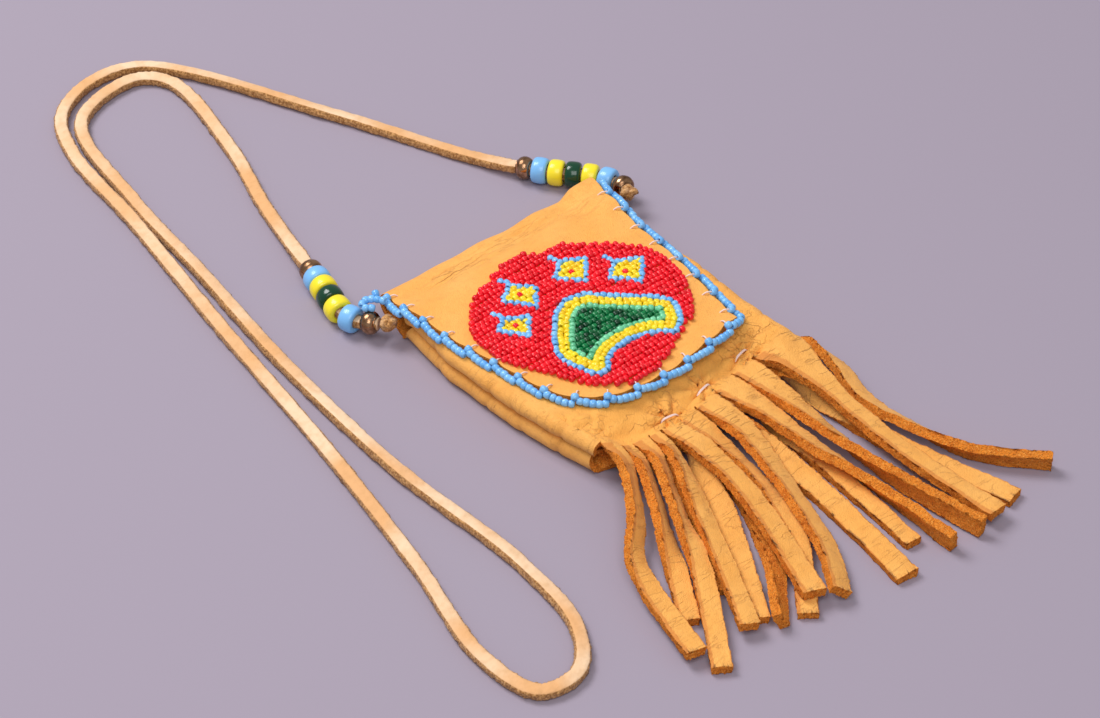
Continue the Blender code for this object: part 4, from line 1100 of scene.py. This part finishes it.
def seed_mesh():
    bm = bmesh.new()
    profile = [(0.34, 0.62), (0.58, 0.84), (0.87, 0.66), (1.0, 0.22), (1.0, -0.22), (0.87, -0.66),
               (0.58, -0.84), (0.34, -0.62)]
    verts = [bm.verts.new((r * SEED_RADIUS, 0.0, z * SEED_RADIUS)) for r, z in profile]
    edges = [bm.edges.new((a, b)) for a, b in zip(verts, verts[1:] + verts[:1])]
    bmesh.ops.spin(bm, geom=verts + edges, axis=(0, 0, 1), cent=(0, 0, 0), angle=2 * math.pi,
                   steps=9, use_merge=True)
    bmesh.ops.remove_doubles(bm, verts=bm.verts, dist=1e-7)
    bmesh.ops.recalc_face_normals(bm, faces=bm.faces)
    mesh = bpy.data.meshes.new("seed")
    bm.to_mesh(mesh)
    bm.free()
    mesh.attributes.new("tone", 'FLOAT', 'POINT')
    return mesh


SEED = seed_mesh()
dice = random.Random(7)
print("a seed bead has", len(SEED.polygons), "faces")


def add_bead(bm, place, along, size=1.0, wobble=0.20):
    """Add a seed bead at a place, its hole along the thread."""
    lean = Vector((dice.uniform(-1, 1), dice.uniform(-1, 1), dice.uniform(-1, 1))) * wobble
    place = place + Vector((0.0, 0.0, dice.uniform(-0.00010, 0.00010)))
    turn = (along.normalized() + lean).to_track_quat('Z', 'Y').to_matrix().to_4x4()
    grow = size * dice.uniform(0.94, 1.07)
    length = size * dice.uniform(0.92, 1.12)
    shape = Matrix.Diagonal((grow, grow, length, 1.0))
    copy = SEED.copy()
    copy.transform(Matrix.Translation(place) @ turn @ shape)
    tone = dice.random() ** 1.6
    copy.attributes["tone"].data.foreach_set("value", [tone] * len(copy.vertices))
    bm.from_mesh(copy)
    bpy.data.meshes.remove(copy)


# %% [markdown]
# The disc is sewn in rows across the flap, and each field is filled by itself. The paw's pad and
# the four toes are outlined first, by strings of beads that follow their edge, ring inside ring.
# The red ground and the dark green heart of the pad are then filled with straight rows, each row
# spread evenly between the places where it meets an outline.
# %% Outlines of the picture in beads
DISC = [(-0.0415, -0.0480), (-0.0400, -0.0400), (-0.0345, -0.0325), (-0.0290, -0.0275), (-0.0207, -0.0240),
        (-0.0140, -0.0215), (-0.0077, -0.0200), (-0.0020, -0.0212), (0.0010, -0.0240), (0.0073, -0.0235),
        (0.0130, -0.0275), (0.0223, -0.0345), (0.0280, -0.0410), (0.0310, -0.0480), (0.0305, -0.0600),
        (0.0283, -0.0660), (0.0235, -0.0740), (0.0183, -0.0795), (0.0130, -0.0815), (0.0080, -0.0840),
        (-0.0005, -0.0885), (-0.0097, -0.0905), (-0.0165, -0.0900), (-0.0240, -0.0850),
        (-0.0300, -0.0775), (-0.0340, -0.0690), (-0.0385, -0.0615), (-0.0408, -0.0560)]
PAD = [(-0.0270, -0.0700), (-0.0265, -0.0650), (-0.0235, -0.0600), (-0.0190, -0.0545), (-0.0140, -0.0495),
       (-0.0070, -0.0467), (0.0000, -0.0485), (0.0050, -0.0535), (0.0110, -0.0590), (0.0165, -0.0640),
       (0.0195, -0.0690), (0.0185, -0.0740), (0.0140, -0.0800), (0.0090, -0.0820), (0.0050, -0.0785),
       (-0.0010, -0.0762), (-0.0090, -0.0762), (-0.0140, -0.0780), (-0.0185, -0.0822),
       (-0.0232, -0.0812), (-0.0255, -0.0760)]
TOES = {
    "first": ((-0.0275, -0.0467), [(-0.0337, -0.0462), (-0.0310, -0.0425), (-0.0285, -0.0405),
              (-0.0258, -0.0430), (-0.0205, -0.0460), (-0.0240, -0.0500), (-0.0275, -0.0543),
              (-0.0302, -0.0500)], [(-0.0286, -0.0400), (-0.0296, -0.0382)]),
    "second": ((-0.0170, -0.0360), [(-0.0238, -0.0345), (-0.0200, -0.0320), (-0.0165, -0.0292),
               (-0.0140, -0.0322), (-0.0098, -0.0362), (-0.0128, -0.0402), (-0.0165, -0.0443),
               (-0.0200, -0.0400)], [(-0.0163, -0.0287), (-0.0174, -0.0269)]),
    "third": ((0.0032, -0.0380), [(-0.0036, -0.0372), (0.0000, -0.0340), (0.0030, -0.0308),
              (0.0066, -0.0325), (0.0112, -0.0360), (0.0078, -0.0405), (0.0040, -0.0447),
              (-0.0002, -0.0408)], [(0.0028, -0.0303), (0.0024, -0.0284)]),
    "fourth": ((0.0167, -0.0490), [(0.0098, -0.0486), (0.0138, -0.0450), (0.0170, -0.0418),
               (0.0205, -0.0440), (0.0260, -0.0472), (0.0215, -0.0525), (0.0172, -0.0568),
               (0.0140, -0.0525)], [(0.0167, -0.0413), (0.0164, -0.0394)]),
}
FIELD_Z = flap_middle(-0.05)[1] + HIDE / 2 + SEED_RADIUS * 0.92
print("beads lie", round(FIELD_Z * 1000, 2), "mm above the table")


# %% Strings along an outline and rows across a field
def inside(points, x, y):
    hit = False
    for (x0, y0), (x1, y1) in zip(points, points[1:] + points[:1]):
        if (y0 > y) != (y1 > y) and x < (x1 - x0) * (y - y0) / (y1 - y0) + x0:
            hit = not hit
    return hit


def closed_line(points, per_span=6):
    return [(p.x, p.y) for p in curve_points(points, per_span, closed=True)]


def shrunk(points, inset):
    """The outline moved inwards; points that come too near it are dropped."""
    count = len(points)
    kept = []
    for i in range(count):
        a, b = Vector(points[i - 1]), Vector(points[(i + 1) % count])
        along = (b - a).normalized()
        for sign in (1.0, -1.0):
            p = Vector(points[i]) + Vector((-along.y, along.x)) * inset * sign
            far = min((Vector(q) - p).length for q in points)
            if inside(points, p.x, p.y) and far > inset * 0.93:
                kept.append((p.x, p.y))
                break
    return kept


def bead_ring(bm, points, pitch=SEED_PITCH, size=1.08, height=0.0002):
    line = [Vector((x, y, FIELD_Z + height)) for x, y in points]
    line.append(line[0].copy())
    length = line_length(line)
    count = max(3, round(length / pitch))
    start = dice.random()
    for k in range(count):
        place, along = point_along(line, length * ((k + start) % count) / count)
        jitter = Vector((dice.uniform(-1, 1), dice.uniform(-1, 1), dice.uniform(-1, 1))) * 0.00024
        add_bead(bm, place + jitter, along, size, 0.32)
    return count


def row_spans(y, outer, holes, margin):
    """Stretches of a row inside the outer outline and clear of the holes."""
    step, spans, start = 0.0001, [], None
    x = min(p[0] for p in outer)
    end = max(p[0] for p in outer) + step
    while x <= end:
        free = inside(outer, x, row_y(x, y)) and not any(inside(h, x, row_y(x, y)) for h in holes)
        if free and start is None:
            start = x
        if not free and start is not None:
            spans.append((start + margin, x - margin))
            start = None
        x += step
    return [s for s in spans if s[1] - s[0] > 0.0002]


def row_y(x, y):
    """Rows bow a little and waver, because each is sewn by hand."""
    bow = -0.9 * (x + 0.005) ** 2 * smooth((y + 0.060) / 0.030)
    return y + bow + 0.0002 * math.sin(x * 160.0 + y * 900.0)


def fill_rows(bm, outer, holes, low, high, pitch=0.00208, margin=0.0006, size=1.0):
    count = 0
    for k in range(int((high - low) / pitch) + 1):
        y = low + pitch * k
        for x0, x1 in row_spans(y, outer, holes, margin):
            beads = max(1, round((x1 - x0) / SEED_PITCH) + 1)
            for b in range(beads):
                x = (x0 + x1) / 2 if beads == 1 else x0 + (x1 - x0) * b / (beads - 1)
                lift = 0.00016 * math.sin(b * 2.1 + k) + dice.uniform(-0.00014, 0.00014)
                shift = dice.uniform(-0.00016, 0.00016)
                place = Vector((x, row_y(x, y) + shift, FIELD_Z + lift))
                add_bead(bm, place, Vector((1.0, 0.0, 0.0)), size, 0.26)
                count += 1
    return count


# %% Sew the disc
fields = {name: bmesh.new() for name in ("red", "blue", "yellow", "mint", "green")}
pad_line = closed_line(PAD)
holes = [pad_line]
counts = {name: 0 for name in fields}
for name, inset in (("blue", 0.0010), ("yellow", 0.0029), ("yellow", 0.0047), ("mint", 0.0065)):
    pitch = 0.00216 if name == "blue" else 0.00200
    counts[name] += bead_ring(fields[name], shrunk(pad_line, inset), pitch, 1.12)
heart = shrunk(pad_line, 0.0074)
counts["green"] += fill_rows(fields["green"], heart, [], -0.0795, -0.0480, 0.0019, 0.0008)
for centre, points, tail in TOES.values():
    toe_line = closed_line(points, 4)
    holes.append(toe_line)
    counts["blue"] += bead_ring(fields["blue"], shrunk(toe_line, 0.0007), 0.00208)
    eye = [(centre[0] + 0.0012 * math.cos(a), centre[1] + 0.0012 * math.sin(a))
           for a in (math.tau * k / 8 for k in range(8))]
    inner = shrunk(toe_line, 0.0013)
    counts["yellow"] += fill_rows(fields["yellow"], inner, [eye], centre[1] - 0.0057,
                                  centre[1] + 0.0058, 0.00190, 0.0007, 1.08)
    middle = Vector((*centre, FIELD_Z + 0.0003))
    add_bead(fields["red"], middle, Vector((0.3, 0, 1)), 0.95)
    for x, y in tail:
        add_bead(fields["blue"], Vector((x, y, FIELD_Z + 0.0003)), Vector((0.2, 1.0, 0.0)), 1.08)
        counts["blue"] += 1
        holes.append([(x - 0.0009, y - 0.001), (x + 0.0009, y - 0.001),
                      (x + 0.0009, y + 0.001), (x - 0.0009, y + 0.001)])
counts["red"] += fill_rows(fields["red"], closed_line(DISC, 4), holes, -0.0896, -0.0200)
toe_nodes = {"blue": "toe_edge_", "yellow": "toe_", "red": "toe_heart_"}
for name, field in fields.items():
    replaced = ["red_disc"] if name == "red" else ["pad_" + name]
    replaced += [toe_nodes[name] + toe for toe in TOES] if name in toe_nodes else []
    finished(field, name + "_beadwork", [FINISH[name]], "flap", replaced)
print("beads in the disc:", counts)

# %% [markdown]
# Along the flap's edge the beads are sewn in short strings of five or six. Each string starts at a
# stitch through the hide, with one bead that stands on the edge, and ends a little further out, so
# the edge looks like a fine rope with steps in it. The thread shows where it enters the hide.
# %% Beads along the flap's edge
EDGE_BEAD = 1.24
EDGE_STRING = 5


def edge_place(run, out, up):
    """A place off the flap's edge: run along it, out from it and up."""
    run = min(max(run, 0.0), edge_length)
    k = min(max(i for i, value in enumerate(edge_runs) if value <= run), len(outline) - 2)
    a, b = outline[k], outline[k + 1]
    here = a.lerp(b, (run - edge_runs[k]) / (edge_runs[k + 1] - edge_runs[k]))
    along = (b - a).normalized()
    x, y = here + Vector((along.y, -along.x)) * out
    y, z = flap_middle(y)
    place = Vector((x, y, z + up))
    return place + Vector((0.0, 0.0, flap_lift(place))), Vector((along.x, along.y, 0.0))


thread_lines = []
edge_bm = bmesh.new()
edge_count = 0
group_length = edge_length / SCALLOPS
for group in range(SCALLOPS):
    start = group_length * group
    loose = 0.0006 * smooth((group - 14) / 1.5) * smooth((17.5 - group) / 1.5)
    route = [edge_place(start + group_length * run, out + loose, up)[0] for run, out, up in
             ((0.10, 0.0013, 0.0006), (0.30, 0.0015, 0.0002), (0.6, 0.0018, -0.0002),
              (1.04, 0.0020, -0.0005))]
    string = curve_points(route, 6)
    length = line_length(string)
    for k in range(EDGE_STRING):
        place, along = point_along(string, length * (k + 0.35) / EDGE_STRING)
        place += Vector((dice.uniform(-1, 1), dice.uniform(-1, 1), dice.uniform(-1, 1))) * 0.00012
        add_bead(edge_bm, place, along, EDGE_BEAD, 0.18)
        edge_count += 1
    place, along = edge_place(start + 0.0001, 0.0006, 0.0013)
    out_way = Vector((along.y, -along.x, 0.0))
    add_bead(edge_bm, place, out_way + Vector((0, 0, -0.6)), EDGE_BEAD)
    hole = edge_place(start + 0.0013, -0.0036, 0.0008)[0]
    bend = edge_place(start + 0.0007, -0.0018, 0.0017)[0]
    thread_lines.append(curve_points([hole - Vector((0, 0, 0.0006)), bend, place], 4))
print("beads on the flap's edge:", edge_count + SCALLOPS)
finished(edge_bm, "edge_beadwork", [FINISH["blue"]], "flap",
         ["flap_edge_beads"])

# %% The loose curl at the left corner
CORNER_CURL = [(-0.0490, -0.0054, 0.0126), (-0.0499, -0.0038, 0.0125), (-0.0508, -0.0023, 0.0122),
               (-0.0520, -0.0010, 0.0118), (-0.0535, -0.0006, 0.0113), (-0.0545, -0.0014, 0.0109),
               (-0.0542, -0.0031, 0.0106), (-0.0528, -0.0042, 0.0105)]
curl_line = curve_points(CORNER_CURL, 8)
curl_bm = bmesh.new()
curl_beads = round(line_length(curl_line) / 0.0021) + 1
for k in range(curl_beads):
    place, along = point_along(curl_line, line_length(curl_line) * k / (curl_beads - 1))
    add_bead(curl_bm, place, along, 1.2)
add_bead(curl_bm, Vector((-0.0488, -0.0012, 0.0126)), Vector((0.3, 1.0, 0.5)), 1.2)
finished(curl_bm, "corner_beadwork", [FINISH["blue"]], "pouch",
         ["corner_bead_curl"])

# %% [markdown]
# Thread shows in two places: the short stitches along the flap's edge, which ride with the flap,
# and three long running stitches that close the pouch above the fringe. Two-ply thread is a pair
# of strands twisted round each other, and at this size a lumpy tube shows it well enough.
# %% Sewing thread
def thread_finish():
    paint = Painter("pinkish_thread")
    tone = paint.mix(paint.noise(2500.0, 2.0), (0.84, 0.56, 0.50), (0.96, 0.80, 0.74))
    paint.set(Base_Color=tone, Roughness=0.6, Sheen_Weight=0.2)
    paint.bump(paint.noise(5000.0, 2.0), 0.0001, 0.6)
    return paint.material


THREAD = thread_finish()
bm = bmesh.new()
for line in thread_lines:
    sweep(bm, line, lambda run: (0.00023, 0.00023), lambda run: 0.0, 6)
finished(bm, "edge_thread", [THREAD], "flap")
bm = bmesh.new()
for k, stitch in enumerate(STITCHES):
    half = Vector((0.0033, (0.0008, 0.0008, -0.0005)[k], 0.0))
    z = front_height(stitch.y) - STITCH_PINCH * pinch(stitch.x, stitch.y) + HIDE / 2
    ends = [stitch - half + Vector((0, 0, z - 0.0006)), stitch - half * 0.7 + Vector((0, 0, z + 0.0003)),
            stitch + Vector((0, 0, z + 0.0006)), stitch + half * 0.7 + Vector((0, 0, z + 0.0003)),
            stitch + half + Vector((0, 0, z - 0.0006))]
    for side in (-1, 1):
        strand = [p + Vector((0, 0.00021 * side, 0)) for p in curve_points(ends, 4)]
        sweep(bm, strand, lambda run: (0.00017, 0.00017), lambda run: 0.0, 8)
finished(bm, "bottom_stitches", [THREAD], "pouch")

# %% [markdown]
# The bag lies on a plain matt sheet of pale mauve grey, under two large soft lamps and an even
# world. Their level is plain, so colours come out about as they are written.
# %% Table and light
def table_finish():
    paint = Painter("mauve_table")
    paint.set(Base_Color=(0.357, 0.308, 0.383), Roughness=0.9, Specular_IOR_Level=0.1)
    return paint.material


bm = bmesh.new()
bmesh.ops.create_grid(bm, x_segments=4, y_segments=4, size=3.0)
table = finished(bm, "table", [table_finish()], None)


def soft_lamp(name, place, power, size):
    lamp_data = bpy.data.lights.new(name, 'AREA')
    lamp_data.energy = power
    lamp_data.size = size
    lamp = bpy.data.objects.new(name, lamp_data)
    bpy.context.scene.collection.objects.link(lamp)
    way = (Vector((0, 0, 0.0)) - place).to_track_quat('-Z', 'Y').to_matrix().to_4x4()
    lamp.matrix_world = Matrix.Translation(place) @ way
    return lamp


soft_lamp("far_softbox", Vector((-0.30, 1.00, 1.40)), 21.0, 0.8)
soft_lamp("near_softbox", Vector((-0.6, -0.7, 1.4)), 11.0, 1.0)
world = bpy.data.worlds.new("studio")
bpy.context.scene.world = world
world.use_nodes = True
world.node_tree.nodes["Background"].inputs["Color"].default_value = (1.0, 0.98, 0.98, 1.0)
world.node_tree.nodes["Background"].inputs["Strength"].default_value = 0.38
bpy.context.scene.view_settings.view_transform = 'Standard'
